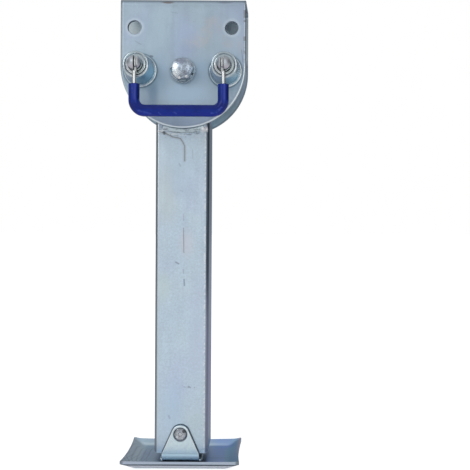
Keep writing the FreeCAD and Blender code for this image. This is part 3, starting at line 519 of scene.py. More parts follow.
def foot_extra(m, colour, r):
    rag = m.mul(m.sub(m.noise(1.0, 4, 0.6, m.scaled(300, 300, 300)), 0.5), 1.0)
    up = m.step(m.nz, 0.20, 0.55)
    # painted light and shade on the dish's upward faces: bluer and darker on the right, with teal and pinkish bands at
    # the right edge, lighter on the left
    right = m.step(m.x, 0.016, 0.034)
    colour = m.mix(m.mul(right, up, 0.80), colour, (0.36, 0.54, 0.95))
    rr = m.step(m.x, 0.040, 0.052)
    colour = m.mix(m.mul(rr, up, 0.55), colour, (0.32, 0.60, 0.76))
    colour = m.mix(m.mul(m.step(m.x, 0.0500, 0.0532), up, m.step(m.add(m.y, m.mul(rag, 0.010)), -0.030, 0.010), 0.55), colour, (0.85, 0.72, 0.88))
    lf = m.mul(m.step(m.x, -0.026, -0.044), up, m.step(m.y, -0.010, 0.034))
    colour = m.mix(m.mul(lf, 0.60), colour, (0.60, 0.80, 0.92))
    # pressed-in draw lines that follow the rim
    ax, ay = m.math("ABSOLUTE", m.x), m.math("ABSOLUTE", m.y)
    d = m.math("MAXIMUM", m.sub(ax, 0.0440), m.sub(ay, 0.0400))
    d = m.add(d, m.mul(rag, 0.0009))
    along = m.noise(1.0, 3, 0.6, m.scaled(38, 30, 30, (2, 6, 1)))
    wave = m.math("SINE", m.mul(d, 2 * math.pi / 0.0037))
    lines = m.mul(m.step(wave, 0.35, 0.95), m.step(d, -0.0150, -0.0090), m.step(along, 0.42, 0.60), up, m.step(m.x, 0.010, 0.002))
    colour = m.mix(m.mul(lines, 0.50), colour, (0.22, 0.31, 0.42))
    # painted light: a lighter band on the slopes near the rim, fading to the right, and a teal band on the right rear
    # slope
    light = m.mul(m.step(d, -0.0052, -0.0020), m.step(d, 0.0045, 0.0010), up, m.step(m.x, 0.044, 0.012, 0.35, 1.0), m.step(m.x, 0.044, 0.038))
    colour = m.mix(m.mul(light, 0.50), colour, (0.78, 0.94, 1.0))
    teal = m.mul(m.step(m.x, 0.0375, 0.0425), m.step(m.x, 0.0500, 0.0470), up)
    colour = m.mix(m.mul(teal, m.step(m.y, 0.034, 0.026), 0.55), colour, (0.30, 0.60, 0.76))
    rolled = m.step(m.noise(1.0, 2, 0.5, m.scaled(14, 620, 30, (4, 4, 1))), 0.50, 0.64)
    colour = m.mix(m.mul(rolled, up, m.step(m.x, 0.016, 0.024), m.step(m.y, 0.012, -0.004), 0.40), colour, (0.27, 0.39, 0.60))
    # painted light: the left wall of the dish, which faces right, made lighter
    lit_left_wall = m.mul(m.step(m.nx, 0.20, 0.42), up)
    colour = m.mix(m.mul(lit_left_wall, 0.75), colour, (0.76, 0.90, 1.0))
    diag = m.math("SINE", m.mul(m.add(m.x, m.mul(m.y, -0.16), m.mul(rag, 0.0009)), 2 * math.pi / 0.0034))
    press = m.mul(m.step(diag, 0.55, 0.98), m.step(m.x, -0.0285, -0.0330), m.step(m.y, 0.004, -0.012), up)
    colour = m.mix(m.mul(press, 0.22), colour, (0.15, 0.20, 0.27))
    qx = m.math("MAXIMUM", m.sub(ax, 0.024), 0.0)
    qy = m.math("MAXIMUM", m.sub(ay, 0.018), 0.0)
    dq = m.add(m.math("SQRT", m.add(m.mul(qx, qx), m.mul(qy, qy))), m.mul(rag, 0.0012))
    arcs = m.mul(m.step(m.math("SINE", m.mul(dq, 2 * math.pi / 0.0046)), 0.25, 0.95), m.step(dq, 0.0050, 0.0085))
    colour = m.mix(m.mul(arcs, along, up, m.step(m.x, -0.024, -0.034), m.step(m.y, 0.036, 0.020, 0.15, 1.0), 0.60), colour, (0.24, 0.31, 0.41))
    # cut rim: lighter face with a light line along its top and a dark line along its lower edge; painted reflection:
    # the down-facing outer slope made near white
    rimz = m.mul(m.step(m.math("ABSOLUTE", m.nz), 0.30, 0.12), 1.0)
    floor_reflection = m.mul(m.step(m.nz, -0.08, -0.30), m.step(m.z, -0.4380, -0.4370))
    colour = m.mix(m.mul(floor_reflection, 0.90), colour, (0.93, 0.95, 1.0))
    colour = m.mix(m.mul(rimz, 0.70), colour, (0.55, 0.61, 0.71))
    burr = m.mul(m.step(m.z, -0.43290, -0.43255), m.step(m.z, -0.43110, -0.43150), m.step(m.nz, 0.35, 0.10))
    colour = m.mix(m.mul(burr, 0.95), colour, (0.07, 0.09, 0.12))
    top = m.mul(m.step(m.z, -0.42885, -0.42862), rimz)
    colour = m.mix(m.mul(top, 0.6), colour, (0.75, 0.80, 0.86))
    # painted shade round the clevis, and dark patches at the right and left front corners
    near = m.mul(m.step(m.math("ABSOLUTE", m.sub(m.x, -0.001)), 0.0285, 0.0205), m.step(ay, 0.038, 0.028), up)
    colour = m.mix(m.mul(near, 0.55), colour, (0.22, 0.29, 0.37))
    corner = m.mul(m.step(m.x, 0.0505, 0.0528), m.step(m.y, -0.0440, -0.0480))
    colour = m.mix(m.mul(corner, 0.70), colour, (0.13, 0.16, 0.20))
    corner = m.mul(m.step(m.add(m.x, m.mul(rag, 0.002)), -0.0505, -0.0530), m.step(m.y, -0.0420, -0.0470))
    colour = m.mix(m.mul(corner, 0.70), colour, (0.17, 0.20, 0.24))
    return colour, r


def clevis_extra(m, colour, r):
    dx = m.math("ABSOLUTE", m.sub(m.x, PIN_X))
    dz = m.sub(m.z, PIN_Z)
    dot = m.add(m.mul(dx, EAR_NX), m.mul(dz, EAR_NZ))
    rad = m.radius(PIN_X, PIN_Z)
    sector = m.math("GREATER_THAN", m.mul(dz, EAR_NX), m.mul(dx, EAR_NZ))
    d = m.mixf(sector, dot, rad)
    # painted highlight: a bright line round the edge of the ear's faces
    face = m.step(m.math("ABSOLUTE", m.ny), 0.80, 0.95)
    colour = m.mix(m.mul(m.step(d, EAR_R - 0.0012, EAR_R - 0.0006), face, 0.55), colour, (1.0, 1.0, 1.0))
    # painted shade: the ear's side faces darkened
    side = m.mul(m.step(m.math("ABSOLUTE", m.nx), 0.45, 0.75), 0.75)
    colour = m.mix(side, colour, (0.20, 0.24, 0.29))
    # painted light: the down-facing bend made lighter
    lit_bend = m.step(m.z, -0.4243, -0.4270)
    colour = m.mix(m.mul(lit_bend, 0.75), colour, (0.92, 1.0, 1.0))
    # painted shade: a dark ring where the pin is spread over the countersink
    colour = m.mix(m.mul(m.step(rad, 0.0072, 0.0065), 0.75), colour, (0.17, 0.20, 0.25))
    return colour, r


def housing_extra(m, colour, r):
    ax = m.sub(m.math("ABSOLUTE", m.x), LOCK_X)
    s = m.math("SIGN", m.x)
    dx = m.mul(ax, s)
    dz = m.sub(m.z, -0.0673)
    rad = m.math("SQRT", m.add(m.mul(dx, dx), m.mul(dz, dz)))
    lowright = m.math("DIVIDE", m.sub(dx, dz), m.add(rad, 0.0001))
    lowleft = m.math("DIVIDE", m.sub(m.mul(dx, -1.0), dz), m.add(rad, 0.0001))
    cone = m.mul(m.step(m.y, -0.0667, -0.0655), m.step(m.y, -0.0338, -0.0350))
    # painted reflections on the cone: teal towards the lower right, violet towards the lower left
    colour = m.mix(m.mul(m.step(lowright, 0.45, 1.25), cone, 0.80), colour, (0.42, 0.70, 0.82))
    colour = m.mix(m.mul(m.step(lowleft, 0.75, 1.30), cone, 0.55), colour, (0.62, 0.66, 0.82))
    # draw lines round the cone, and a painted shade line at its root where it meets the flange
    rings = m.noise(1.0, 2, 0.5, m.vec(0.0, m.mul(m.y, 700.0), m.mul(rad, 200.0)))
    colour = m.mix(m.mul(m.step(rings, 0.55, 0.70), cone, 0.30), colour, (0.20, 0.27, 0.33))
    root = m.mul(m.step(rad, 0.0129, 0.0132), m.step(rad, 0.0140, 0.0136), m.step(m.y, -0.0365, -0.0350))
    colour = m.mix(m.mul(root, 0.70), colour, (0.12, 0.17, 0.21))
    # painted highlight: the flange's rim made bright, strongest towards the lower right
    flange = m.mul(m.step(rad, 0.0138, 0.0142), m.step(m.noise(1.0, 3, 0.6, m.scaled(150, 150, 150, (9, 4, 1))), 0.34, 0.56, 0.45, 1.0))
    colour = m.mix(m.mul(flange, m.step(lowright, 0.1, 0.9, 0.08, 1.0), 0.85), colour, (0.92, 0.98, 1.0))
    # the front lip dull, with worn lighter patches, and painted light that makes them stronger towards the lower right
    lip = m.step(m.y, -0.0672, -0.0677)
    worn = m.step(m.noise(1.0, 3, 0.6, m.scaled(230, 230, 230, (3, 8, 4))), 0.40, 0.62, 0.25, 1.0)
    colour = m.mix(m.mul(lip, 0.45), colour, (0.42, 0.48, 0.53))
    colour = m.mix(m.mul(lip, worn, m.step(lowright, -0.9, 0.6, 0.25, 0.85)), colour, (0.74, 0.81, 0.85))
    # painted shade and light in the groove: dark on its lower part, light on its upper part
    groove = m.mul(m.step(m.y, -0.0674, -0.0664), m.step(rad, 0.0113, 0.0106))
    colour = m.mix(groove, colour, m.mix(m.step(dz, 0.0015, 0.0060), (0.20, 0.24, 0.28), (0.85, 0.90, 0.94)))
    return colour, r


def washer_extra(m, colour, r):
    s = m.math("SIGN", m.x)
    dx = m.mul(m.sub(m.math("ABSOLUTE", m.x), LOCK_X), s)
    dz = m.sub(m.z, -0.0673)
    rad = m.math("SQRT", m.add(m.mul(dx, dx), m.mul(dz, dz)))
    # painted light and shade on the guide washer: bright patches on the upper left, lighter to the lower right, dark
    # patches over the lower half, a black crescent round the bore below, and a dark ring near its edge, mostly on the
    # lower side
    mess = m.noise(1.0, 3, 0.6, m.scaled(420, 420, 420, (6, 1, 2)))
    bright = m.mul(m.step(m.add(dx, dz), -0.0045, -0.0085), m.step(mess, 0.36, 0.54))
    colour = m.mix(m.mul(bright, 0.85), colour, (0.90, 0.93, 0.96))
    green = m.step(m.sub(dx, dz), 0.0050, 0.0095)
    colour = m.mix(m.mul(green, 0.65), colour, (0.80, 0.92, 0.92))
    colour = m.mix(m.mul(m.step(mess, 0.60, 0.70), m.step(dz, 0.001, -0.003), 0.65), colour, (0.18, 0.22, 0.25))
    low = m.step(dz, 0.0015, -0.0020)
    colour = m.mix(m.mul(m.step(rad, 0.0070, 0.0068), low, 0.90), colour, (0.03, 0.035, 0.045))
    colour = m.mix(m.mul(m.step(rad, 0.0086, 0.0089), m.step(m.y, -0.0670, -0.0664), m.step(dz, 0.0060, 0.0010, 0.10, 0.85)), colour, (0.10, 0.11, 0.13))
    return colour, r


def fast_extra(m, colour, r):
    rad = m.radius(0.0, -0.0673)
    dx, dz = m.x, m.sub(m.z, -0.0673)
    ang = m.math("ARCTAN2", dz, dx)
    swirl = m.noise(1.0, 3, 0.6, m.vec(m.mul(m.math("COSINE", m.add(ang, m.mul(rad, 420.0))), 3.0),
                                     m.mul(m.math("SINE", m.add(ang, m.mul(rad, 420.0))), 3.0), m.mul(rad, 900.0)))
    # painted highlights and shade on the head's face: swirled light and dark tones, bright spots on the left and at two
    # lower corners, dark patches on the right and top
    head = m.step(m.y, -0.0440, -0.0452)
    v = m.step(swirl, 0.38, 0.62)
    colour = m.mix(m.mul(head, 0.80), colour, m.mix(v, (0.24, 0.30, 0.38), (0.47, 0.55, 0.65)))
    rag = m.mul(m.sub(m.noise(1.0, 3, 0.6, m.scaled(500, 500, 500, (2, 7, 1))), 0.5), 1.1)
    y = -0.0468
    for u, v2, rx, rz, to, k, soft in (
            (174.6, 70.5, 0.0024, 0.0062, (0.95, 0.98, 1.00), 0.85, 0.5), (176.9, 74.0, 0.0030, 0.0030, (0.90, 0.95, 1.00), 0.6, 0.6),
            (180.5, 60.6, 0.0046, 0.0030, (0.25, 0.29, 0.38), 0.80, 0.4), (185.2, 72.5, 0.0024, 0.0026, (0.20, 0.22, 0.27), 0.75, 0.6),
            (180.0, 75.5, 0.0016, 0.0012, (0.20, 0.22, 0.27), 0.6, 0.6), (188.2, 74.2, 0.0022, 0.0030, (0.26, 0.34, 0.42), 0.6, 0.6),
            (179.0, 77.4, 0.0012, 0.0012, (1.00, 1.00, 1.00), 1.0, 0.5), (186.4, 76.2, 0.0012, 0.0010, (0.95, 0.98, 1.00), 0.95, 0.5)):
        x, z = on(u, v2, y)
        colour = m.mix(m.mul(blob(m, x, z, rx, rz, soft, rag), head, k), colour, to)
    # flanks of the head, and the washers, in its shade
    flank = m.mul(m.step(m.math("ABSOLUTE", m.ny), 0.75, 0.45), m.step(m.y, -0.0372, -0.0380))
    colour = m.mix(m.mul(flank, 0.75), colour, (0.16, 0.20, 0.25))
    edge = m.mul(m.step(rad, 0.0090, 0.0097), m.step(m.y, -0.0339, -0.0344), m.step(m.y, -0.0400, -0.0390))
    colour = m.mix(m.mul(edge, m.step(m.sub(dx, dz), -0.002, 0.006, 0.25, 0.55)), colour, (0.26, 0.36, 0.42))
    spot = m.mul(m.step(m.radius(-0.0103, -0.0672), 0.0016, 0.0007), m.step(m.y, -0.030, -0.034))
    colour = m.mix(m.mul(spot, 0.9), colour, (0.05, 0.07, 0.10))
    wash = m.mul(m.step(rad, 0.0104, 0.0109), m.step(m.math("ABSOLUTE", m.y), 0.0390, 0.0370))
    colour = m.mix(m.mul(wash, 0.5), colour, (0.34, 0.42, 0.48))
    return colour, m.add(r, m.mul(m.sub(v, 0.5), -0.08))


def fast_bump(m, normal):
    rad = m.radius(0.0, -0.0673)
    dx, dz = m.x, m.sub(m.z, -0.0673)
    ang = m.math("ARCTAN2", dz, dx)
    h = m.noise(1.0, 3, 0.55, m.vec(m.mul(m.math("COSINE", m.add(ang, m.mul(rad, 420.0))), 2.2),
                                 m.mul(m.math("SINE", m.add(ang, m.mul(rad, 420.0))), 2.2), m.mul(rad, 520.0)))
    return m.bump(h, 0.55, 0.0006, normal)


def pin_extra(m, colour, r):
    s = m.math("SIGN", m.x)
    dx = m.mul(m.sub(m.math("ABSOLUTE", m.x), LOCK_X), s)
    dz = m.sub(m.z, -0.0673)
    rad = m.math("SQRT", m.add(m.mul(dx, dx), m.mul(dz, dz)))
    lock = m.step(m.z, -0.25, -0.20)
    dome = m.mul(m.step(m.y, -0.0750, -0.0765), lock)
    st = m.noise(1.0, 3, 0.6, m.scaled(700, 60, 60, (1, 2, 3)))
    patch = m.noise(1.0, 2, 0.5, m.scaled(260, 260, 260, (5, 2, 8)))
    tone = m.mix(m.step(patch, 0.40, 0.60), (0.48, 0.53, 0.57), (0.60, 0.63, 0.69))
    colour = m.mix(m.mul(dome, 0.80), colour, tone)
    colour = m.mix(m.mul(dome, m.step(st, 0.54, 0.70), 0.45), colour, (0.30, 0.32, 0.36))
    colour = m.mix(m.mul(dome, m.step(dz, -0.0010, -0.0040), m.step(dz, -0.0062, -0.0045), 0.40), colour, (0.70, 0.60, 0.70))
    # painted shade in the slot, deeper on the left pin
    off = m.sub(m.math("ABSOLUTE", m.x), 0.0386)
    slot = m.mul(m.step(m.math("ABSOLUTE", off), 0.00165, 0.00147), m.step(m.y, -0.0660, -0.0690), lock)
    colour = m.mix(m.mul(slot, m.step(m.x, -0.01, 0.01, 0.93, 0.45)), colour, (0.03, 0.032, 0.038))
    # painted highlight: a bright streak on the dome beside the slot
    painted_glint = m.stroke(line(((137.3, 57.0), (137.1, 65.0)), -0.0758), 0.0003, 0.0011)
    colour = m.mix(m.mul(painted_glint, dome, 0.85), colour, (0.95, 0.97, 1.0))
    # painted shade: a dark line at the foot of the dome on its lower half; painted light on the shaft behind it
    low = m.mul(m.step(dz, 0.0010, -0.0012), lock)
    ring = m.mul(m.step(rad, 0.00595, 0.00612), m.step(m.y, -0.0730, -0.0738))
    colour = m.mix(m.mul(ring, low, 0.95), colour, (0.02, 0.024, 0.030))
    shaft = m.mul(m.step(m.y, -0.0735, -0.0728), m.step(m.y, -0.0640, -0.0655), lock)
    colour = m.mix(m.mul(shaft, 0.80), colour, (0.96, 1.0, 1.0))
    # foot pin: dark spread rim, bright pressed centre, one dark pit
    foot = m.step(m.z, -0.30, -0.35)
    rad2 = m.radius(PIN_X, PIN_Z)
    ring2 = m.mul(m.step(rad2, 0.0040, 0.0047), foot)
    colour = m.mix(m.mul(ring2, 0.75), colour, (0.23, 0.25, 0.28))
    core = m.mul(m.step(rad2, 0.0032, 0.0022), foot)
    colour = m.mix(m.mul(core, 0.55), colour, (0.80, 0.81, 0.84))
    dot = m.mul(m.step(m.radius(PIN_X + 0.0033, PIN_Z + 0.0030), 0.0020, 0.0011), foot)
    colour = m.mix(m.mul(dot, 0.85), colour, (0.05, 0.055, 0.065))
    mess = m.noise(1.0, 3, 0.6, m.scaled(520, 520, 520))
    colour = m.mix(m.mul(foot, m.step(mess, 0.46, 0.60), 0.55), colour, (0.28, 0.30, 0.34))
    return colour, m.add(r, m.mul(dome, 0.26))


def weld_extra(m, colour, r):
    n1 = m.noise(1.0, 4, 0.65, m.scaled(150, 300, 760))
    n2 = m.noise(1.0, 3, 0.6, m.scaled(500, 700, 1100, (4, 4, 4)))
    colour = m.mix(m.step(n1, 0.50, 0.60, 0.0, 0.75), colour, (0.20, 0.24, 0.28))
    colour = m.mix(m.step(n2, 0.58, 0.68, 0.0, 0.65), colour, (0.84, 0.89, 0.93))
    x, z = on(204.0, 129.3, -0.0265)
    colour = m.mix(m.mul(blob(m, x, z, 0.0026, 0.0020, 0.5), m.step(m.y, -0.020, -0.026), 0.85), colour, (0.90, 0.93, 0.95))
    return colour, r


mat_plate = zinc("zinc_plate", PLATE, extra=plate_extra, speckle=0.08)
mat_tube = zinc("zinc_tube", TUBE, seed=2, extra=tube_extra, rough=0.34, grazing=(0.48, 0.53, 0.64), speckle=0.17)
mat_foot = zinc("zinc_foot", FOOT, seed=3, streak=(0.1, 1, 1), extra=foot_extra, mottling=0.12)
mat_clevis = zinc("zinc_clevis", ((0.76, 0.92, 1.0), (0.79, 0.93, 1.0), (0.76, 0.89, 1.0)), seed=4, extra=clevis_extra, rough=0.30, speckle=0.13)
mat_housing = zinc("zinc_drawn", ((0.50, 0.60, 0.68), (0.46, 0.58, 0.64), (0.50, 0.56, 0.68)), rough=0.20, seed=5, grain=0.12,
                   extra=housing_extra)
mat_guide = zinc("zinc_guide", ((0.58, 0.66, 0.72), (0.55, 0.64, 0.69), (0.58, 0.62, 0.72)), rough=0.18, seed=11, grain=0.10,
                 extra=washer_extra)
mat_fast = zinc("zinc_fastener", ((0.60, 0.67, 0.74), (0.58, 0.65, 0.74), (0.60, 0.65, 0.74)), rough=0.24, seed=6, extra=fast_extra,
                bump=fast_bump)
mat_pin = zinc("zinc_pin", ((0.56, 0.60, 0.65), (0.54, 0.57, 0.62), (0.56, 0.57, 0.62)), rough=0.20, seed=7, grain=0.12,
               extra=pin_extra)
mat_weld = zinc("zinc_weld", ((0.56, 0.67, 0.74), (0.60, 0.70, 0.74), (0.55, 0.63, 0.74)), rough=0.36, seed=8, mottling=0.25,
                extra=weld_extra, grain=0.5)
mat_spring = zinc("spring_steel", ((0.4, 0.4, 0.4), (0.36, 0.36, 0.36), (0.4, 0.38, 0.36)), rough=0.3, seed=9)


def wire_extra(m, colour, r):
    rings = m.noise(1.0, 2, 0.5, m.scaled(180, 180, 1300))
    colour = m.mix(m.step(rings, 0.52, 0.68, 0.0, 0.45), colour, (0.40, 0.43, 0.42))
    # painted shade: darker on the side facing +X
    side = m.step(m.nx, 0.55, 0.90)
    colour = m.mix(m.mul(side, 0.50), colour, (0.20, 0.21, 0.23))
    return colour, r


mat_wire = zinc("handle_wire", ((0.70, 0.73, 0.74), (0.72, 0.74, 0.74), (0.70, 0.71, 0.73)), rough=0.24, seed=10, grain=0.1,
                extra=wire_extra)


def vinyl_material():
    m = Mat("blue_vinyl")
    big = m.noise(1.0, 3, 0.55, m.scaled(75, 75, 75))
    fine = m.noise(1.0, 3, 0.6, m.scaled(850, 850, 850))
    colour = m.mix(m.step(big, 0.35, 0.65), (0.0035, 0.019, 0.205), (0.0065, 0.026, 0.262))
    colour = m.mix(m.mul(m.step(fine, 0.55, 0.72), 0.25), colour, (0.012, 0.035, 0.30))
    # scuffs where hands rub the bar
    sc = m.noise(1.0, 4, 0.65, m.scaled(90, 420, 700, (3, 1, 2)))
    scuff = m.mul(m.step(sc, 0.61, 0.70), m.step(m.z, -0.100, -0.104))
    colour = m.mix(m.mul(scuff, 0.35), colour, (0.06, 0.09, 0.34))
    # painted shade and highlight on the bar: darker over its upper part, a lighter streak along its lower front
    bar = m.step(m.z, -0.1020, -0.1050)
    colour = m.mix(m.mul(bar, m.step(m.z, -0.1105, -0.1085), 0.60), colour, (0.0045, 0.014, 0.150))
    colour = m.mix(m.mul(bar, m.step(m.z, -0.1118, -0.1130), m.step(m.z, -0.1152, -0.1143), 0.55), colour, (0.006, 0.020, 0.300))
    ragged = m.step(m.noise(1.0, 3, 0.65, m.scaled(420, 420, 700, (7, 2, 5))), 0.38, 0.62, 0.15, 1.0)
    for u0, v0, u1, v1, w in ((138.5, 110.6, 152.5, 114.6, 0.0007), (158.6, 112.4, 160.6, 114.6, 0.0005), (174.0, 112.2, 176.0, 113.4, 0.0005),
                              (216.5, 112.0, 221.5, 107.6, 0.0007), (211.0, 113.0, 214.0, 112.6, 0.0005)):
        mark = m.stroke(line(((u0, v0), (u1, v1)), -0.0813), w * 0.4, w * 2.2)
        colour = m.mix(m.mul(mark, ragged, m.step(m.y, -0.0790, -0.0802), 0.75), colour, (0.045, 0.080, 0.42))
    # painted highlight and shade on the arms: a lighter streak right of their centres, darker at both edges
    arms = m.step(m.z, -0.1030, -0.0990)
    ax = m.sub(m.x, m.mul(m.math("SIGN", m.x), 0.0397))
    colour = m.mix(m.mul(arms, m.step(ax, -0.0010, 0.0004), m.step(ax, 0.0028, 0.0014), m.step(m.y, -0.0790, -0.0802), 0.60), colour, (0.040, 0.065, 0.40))
    colour = m.mix(m.mul(arms, m.step(ax, 0.0026, 0.0040), 0.80), colour, (0.002, 0.006, 0.085))
    colour = m.mix(m.mul(arms, m.step(ax, -0.0036, -0.0045), 0.60), colour, (0.003, 0.010, 0.110))
    # darker at the top, where the dip coat starts
    top = m.step(m.z, -0.0872, -0.0863)
    colour = m.mix(m.mul(top, 0.55), colour, (0.010, 0.016, 0.085))
    rough = m.add(0.23, m.mul(m.sub(big, 0.5), 0.14), m.mul(scuff, 0.18))
    lumps = m.noise(1.0, 3, 0.5, m.scaled(95, 95, 95, (2, 2, 2)))
    n = m.bump(lumps, 0.45, 0.0011)
    n = m.bump(fine, 0.10, 0.0002, n)
    return m.finish(colour, rough, 0.0, n, ior=1.5, specular=0.22)


mat_vinyl = vinyl_material()
ny = Mat("nylon")
nyn = ny.noise(1.0, 3, 0.5, ny.scaled(320, 320, 320))
mat_nylon = ny.finish(ny.mix(nyn, (0.70, 0.73, 0.76), (0.80, 0.82, 0.84)), ny.add(0.40, ny.mul(nyn, 0.15)), 0.0, ny.bump(nyn, 0.2, 0.0003))

SLOT_MATS = {
    "zinc_plate": mat_plate, "zinc_tube": mat_tube, "zinc_foot": mat_foot, "zinc_clevis": mat_clevis,
    "zinc_bright": mat_housing, "zinc_fastener": mat_fast, "zinc_pin": mat_pin, "zinc_weld": mat_weld,
    "spring_steel": mat_spring, "handle_wire": mat_wire, "blue_vinyl": mat_vinyl, "nylon": mat_nylon,
}
for part in frame["record"]["subparts"]:
    dress(part["node"], SLOT_MATS[part["material_slot"]])
for node in ("left_guide_washer", "right_guide_washer"):
    dress(node, mat_guide)

# ------------------------------------------------------------------ weld beads and bolt thread
def bead(bm, frames, leg, tall, seed, taper=1.6):
    """A rippled fillet bead. frames are (corner, surface direction, height direction, distance along the bead in mm)."""
    n = 12
    last = frames[-1][3]
    rings = []
    for corner, u, v, t in frames:
        end = min(1.0, math.sqrt(max(0.02, min(t, last - t) / taper)))
        ring = []
        for j in range(n + 1):
            phi = math.pi / 2 * j / n
            phase = t + 1.3 * math.sin(2 * phi)
            wave = 0.5 + 0.5 * math.sin(2 * math.pi * phase / 1.45 + 1.4 * noise.noise((t * 0.35, seed, 0.3)))
            rough = noise.noise((t * 0.9, j * 0.55, seed))
            slow = noise.noise((t * 0.16, seed + 3.0, 1.7))
            f = 0.93 - 0.13 * wave ** 2 + 0.10 * rough + 0.09 * slow
            f = min(f, 1.0) * end
            a, b = leg * math.sin(phi) * f, tall * math.cos(phi) * f
            ring.append(bm.verts.new(corner + (u * a + v * b) * 0.001))
        ring.append(bm.verts.new(corner))
        rings.append(ring)
    m = len(rings[0])
    for r0, r1 in zip(rings[:-1], rings[1:]):
        for j in range(m):
            bm.faces.new((r0[j], r0[(j + 1) % m], r1[(j + 1) % m], r1[j]))
    bm.faces.new(list(reversed(rings[0])))
    bm.faces.new(rings[-1])


def piece(name, bm, material, body):
    bmesh.ops.recalc_face_normals(bm, faces=bm.faces)
    me = bpy.data.meshes.new(name)
    bm.to_mesh(me)
    bm.free()
    for poly in me.polygons:
        poly.use_smooth = len(poly.vertices) == 4
    o = bpy.data.objects.new(name, me)
    bpy.context.scene.collection.objects.link(o)
    me.materials.append(material)
    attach(o, body)
    return o


for side, sy, r0, half in (("front", -1.0, 53.5, 21.5), ("rear", 1.0, 32.0, 35.0)):
    bm = bmesh.new()
    steps = int(2 * math.radians(half) * r0 / 0.22)
    frames = []
    for i in range(steps + 1):
        a = math.radians(-half + 2 * half * i / steps)
        out = Vector((math.sin(a), 0, -math.cos(a)))
        corner = Vector((0, sy * 0.0254, PIVOT_Z)) + out * (r0 * 0.001)
        frames.append((corner, out, Vector((0, sy, 0)), math.radians(2 * half) * r0 * i / steps))
    bead(bm, frames, 4.7, 1.9, 1.7 + sy)
    frames = [(Vector((-0.0195 + 0.038 * i / 150, sy * 0.0254, -0.038)), Vector((0, -sy, 0)), Vector((0, 0, 1)), 38.0 * i / 150)
              for i in range(151)]
    bead(bm, frames, 2.8, 3.1, 5.2 + sy)
    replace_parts(piece(side + "_cheek_bead", bm, mat_weld, "leg"), side + "_cheek_weld")

bm = bmesh.new()
for sx in (-1.0, 1.0):
    frames = [(Vector((-0.001 + sx * 0.0175, -0.021 + 0.042 * i / 170, -0.4352)), Vector((sx, 0, 0)), Vector((0, 0, 1)), 42.0 * i / 170)
              for i in range(171)]
    bead(bm, frames, 3.15, 2.65, 8.0 + sx)
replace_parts(piece("foot_clevis_bead", bm, mat_weld, "foot"), "foot_clevis_weld")

bm = bmesh.new()
rings = []
turns, y0, y1 = 1.15, 0.04735, 0.04935
count = 80
for i in range(count + 1):
    f = i / count
    a = 2 * math.pi * turns * f
    lift = min(1.0, min(f, 1 - f) / 0.10)
    crest = 0.0051 + 0.00082 * lift
    yc = y0 + (y1 - y0) * f
    ring = []
    for dy, rr in ((-0.00075, 0.0050), (-0.00012, crest), (0.00012, crest), (0.00075, 0.0050)):
        ring.append(bm.verts.new((rr * math.cos(a), yc + dy, PIVOT_Z + rr * math.sin(a))))
    rings.append(ring)
for r0, r1 in zip(rings[:-1], rings[1:]):
    for j in range(4):
        bm.faces.new((r0[j], r0[(j + 1) % 4], r1[(j + 1) % 4], r1[j]))
bm.faces.new(list(reversed(rings[0])))
bm.faces.new(rings[-1])
piece("bolt_thread", bm, mat_fast, "head")

# ------------------------------------------------------------------ stage
bpy.ops.mesh.primitive_plane_add(size=40, location=(0, 0, FLOOR_Z))
floor = bpy.context.object
floor.name = "floor"
fl = Mat("floor_paper")
fl.bsdf.inputs["Emission Color"].default_value = (1, 1, 1, 1)
lp = fl.t.nodes.new("ShaderNodeLightPath")
fl.put(fl.bsdf.inputs["Emission Strength"], fl.lerp(lp.outputs["Is Camera Ray"], 0.0, 1.0, 0.16, 0.70))
floor.data.materials.append(fl.finish(fl.mix(fl.noise(3.0), (0.80, 0.80, 0.80), (0.82, 0.82, 0.82)), 0.9, 0.0, specular=0.1))

world = bpy.data.worlds.new("studio")
bpy.context.scene.world = world
world.use_nodes = True
wt = world.node_tree
wt.nodes.clear()


def wnode(kind, **values):
    n = wt.nodes.new(kind)
    for k, v in values.items():
        n.inputs[k].default_value = v
    return n


def wstep(socket, lo, hi, b):
    n = wnode("ShaderNodeMapRange")
    n.interpolation_type = "SMOOTHSTEP"
    wt.links.new(socket, n.inputs["Value"])
    n.inputs["From Min"].default_value = lo
    n.inputs["From Max"].default_value = hi
    n.inputs["To Max"].default_value = b
    return n.outputs[0]


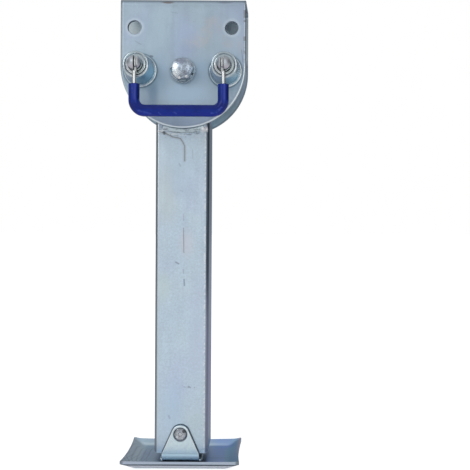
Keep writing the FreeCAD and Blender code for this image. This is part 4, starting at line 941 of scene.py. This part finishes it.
wdir = wnode("ShaderNodeSeparateXYZ")
wt.links.new(wnode("ShaderNodeTexCoord").outputs["Generated"], wdir.inputs[0])
total = None
for socket, lo, hi, amount in (
    (wdir.outputs[1], -0.15, -0.85, 0.44),   # room in front of the object
    (wdir.outputs[1], 0.25, 0.80, 0.20),     # backdrop
    (wdir.outputs[0], -0.20, -0.85, 0.16),   # left wall, nearer to the lamps
    (wdir.outputs[2], 0.35, 0.90, 0.45),     # ceiling
):
    part = wstep(socket, lo, hi, amount)
    if total is None:
        total = wnode("ShaderNodeMath").inputs[0].node
        total.operation = "ADD"
        total.inputs[1].default_value = 0.10
        wt.links.new(part, total.inputs[0])
    else:
        nxt = wnode("ShaderNodeMath")
        nxt.operation = "ADD"
        wt.links.new(total.outputs[0], nxt.inputs[0])
        wt.links.new(part, nxt.inputs[1])
        total = nxt
room = wnode("ShaderNodeBackground")
wt.links.new(total.outputs[0], room.inputs[1])
seen = wnode("ShaderNodeBackground")
seen.inputs[0].default_value = (1, 1, 1, 1)
seen.inputs[1].default_value = 1.0
pick = wnode("ShaderNodeMixShader")
wt.links.new(wnode("ShaderNodeLightPath").outputs["Is Camera Ray"], pick.inputs[0])
wt.links.new(room.outputs[0], pick.inputs[1])
wt.links.new(seen.outputs[0], pick.inputs[2])
wt.links.new(pick.outputs[0], wnode("ShaderNodeOutputWorld").inputs[0])
room.inputs[0].default_value = (0.98, 0.99, 1.0, 1)


def softbox(name, loc, target, size, power, colour=(1, 1, 1)):
    d = bpy.data.lights.new(name, "AREA")
    d.shape = "RECTANGLE"
    d.size, d.size_y = size
    d.energy = power
    d.color = colour
    o = bpy.data.objects.new(name, d)
    bpy.context.scene.collection.objects.link(o)
    o.location = loc
    o.rotation_mode = "QUATERNION"
    o.rotation_quaternion = (Vector(target) - Vector(loc)).to_track_quat("-Z", "Y")
    return o


softbox("key", (-1.0, -1.5, 0.65), (0, 0, -0.2), (1.0, 1.0), 7)
softbox("fill", (0.9, -1.7, 0.25), (0, 0, -0.2), (0.8, 1.2), 4)

# ------------------------------------------------------------------ camera
cam_data = bpy.data.cameras.new("camera")
cam = bpy.data.objects.new("camera", cam_data)
bpy.context.scene.collection.objects.link(cam)
bpy.context.scene.camera = cam
cam_data.sensor_width = 36.0
cam_data.lens = 928.3 / 470.0 * 36.0
cam_data.shift_x = -27.0 / 470.0
cam_data.shift_y = -10.0 / 470.0
cam_data.clip_start = 0.01
cam_data.clip_end = 60.0
cam.rotation_mode = "QUATERNION"
cam.rotation_quaternion = (Matrix.Rotation(math.radians(-0.30), 4, "Y") @ Matrix.Rotation(math.radians(90), 4, "X")).to_quaternion()
cam.location = (0.0748, -0.902, -0.2114)

bpy.context.scene.view_settings.view_transform = "Standard"
bpy.context.scene.view_settings.look = "None"
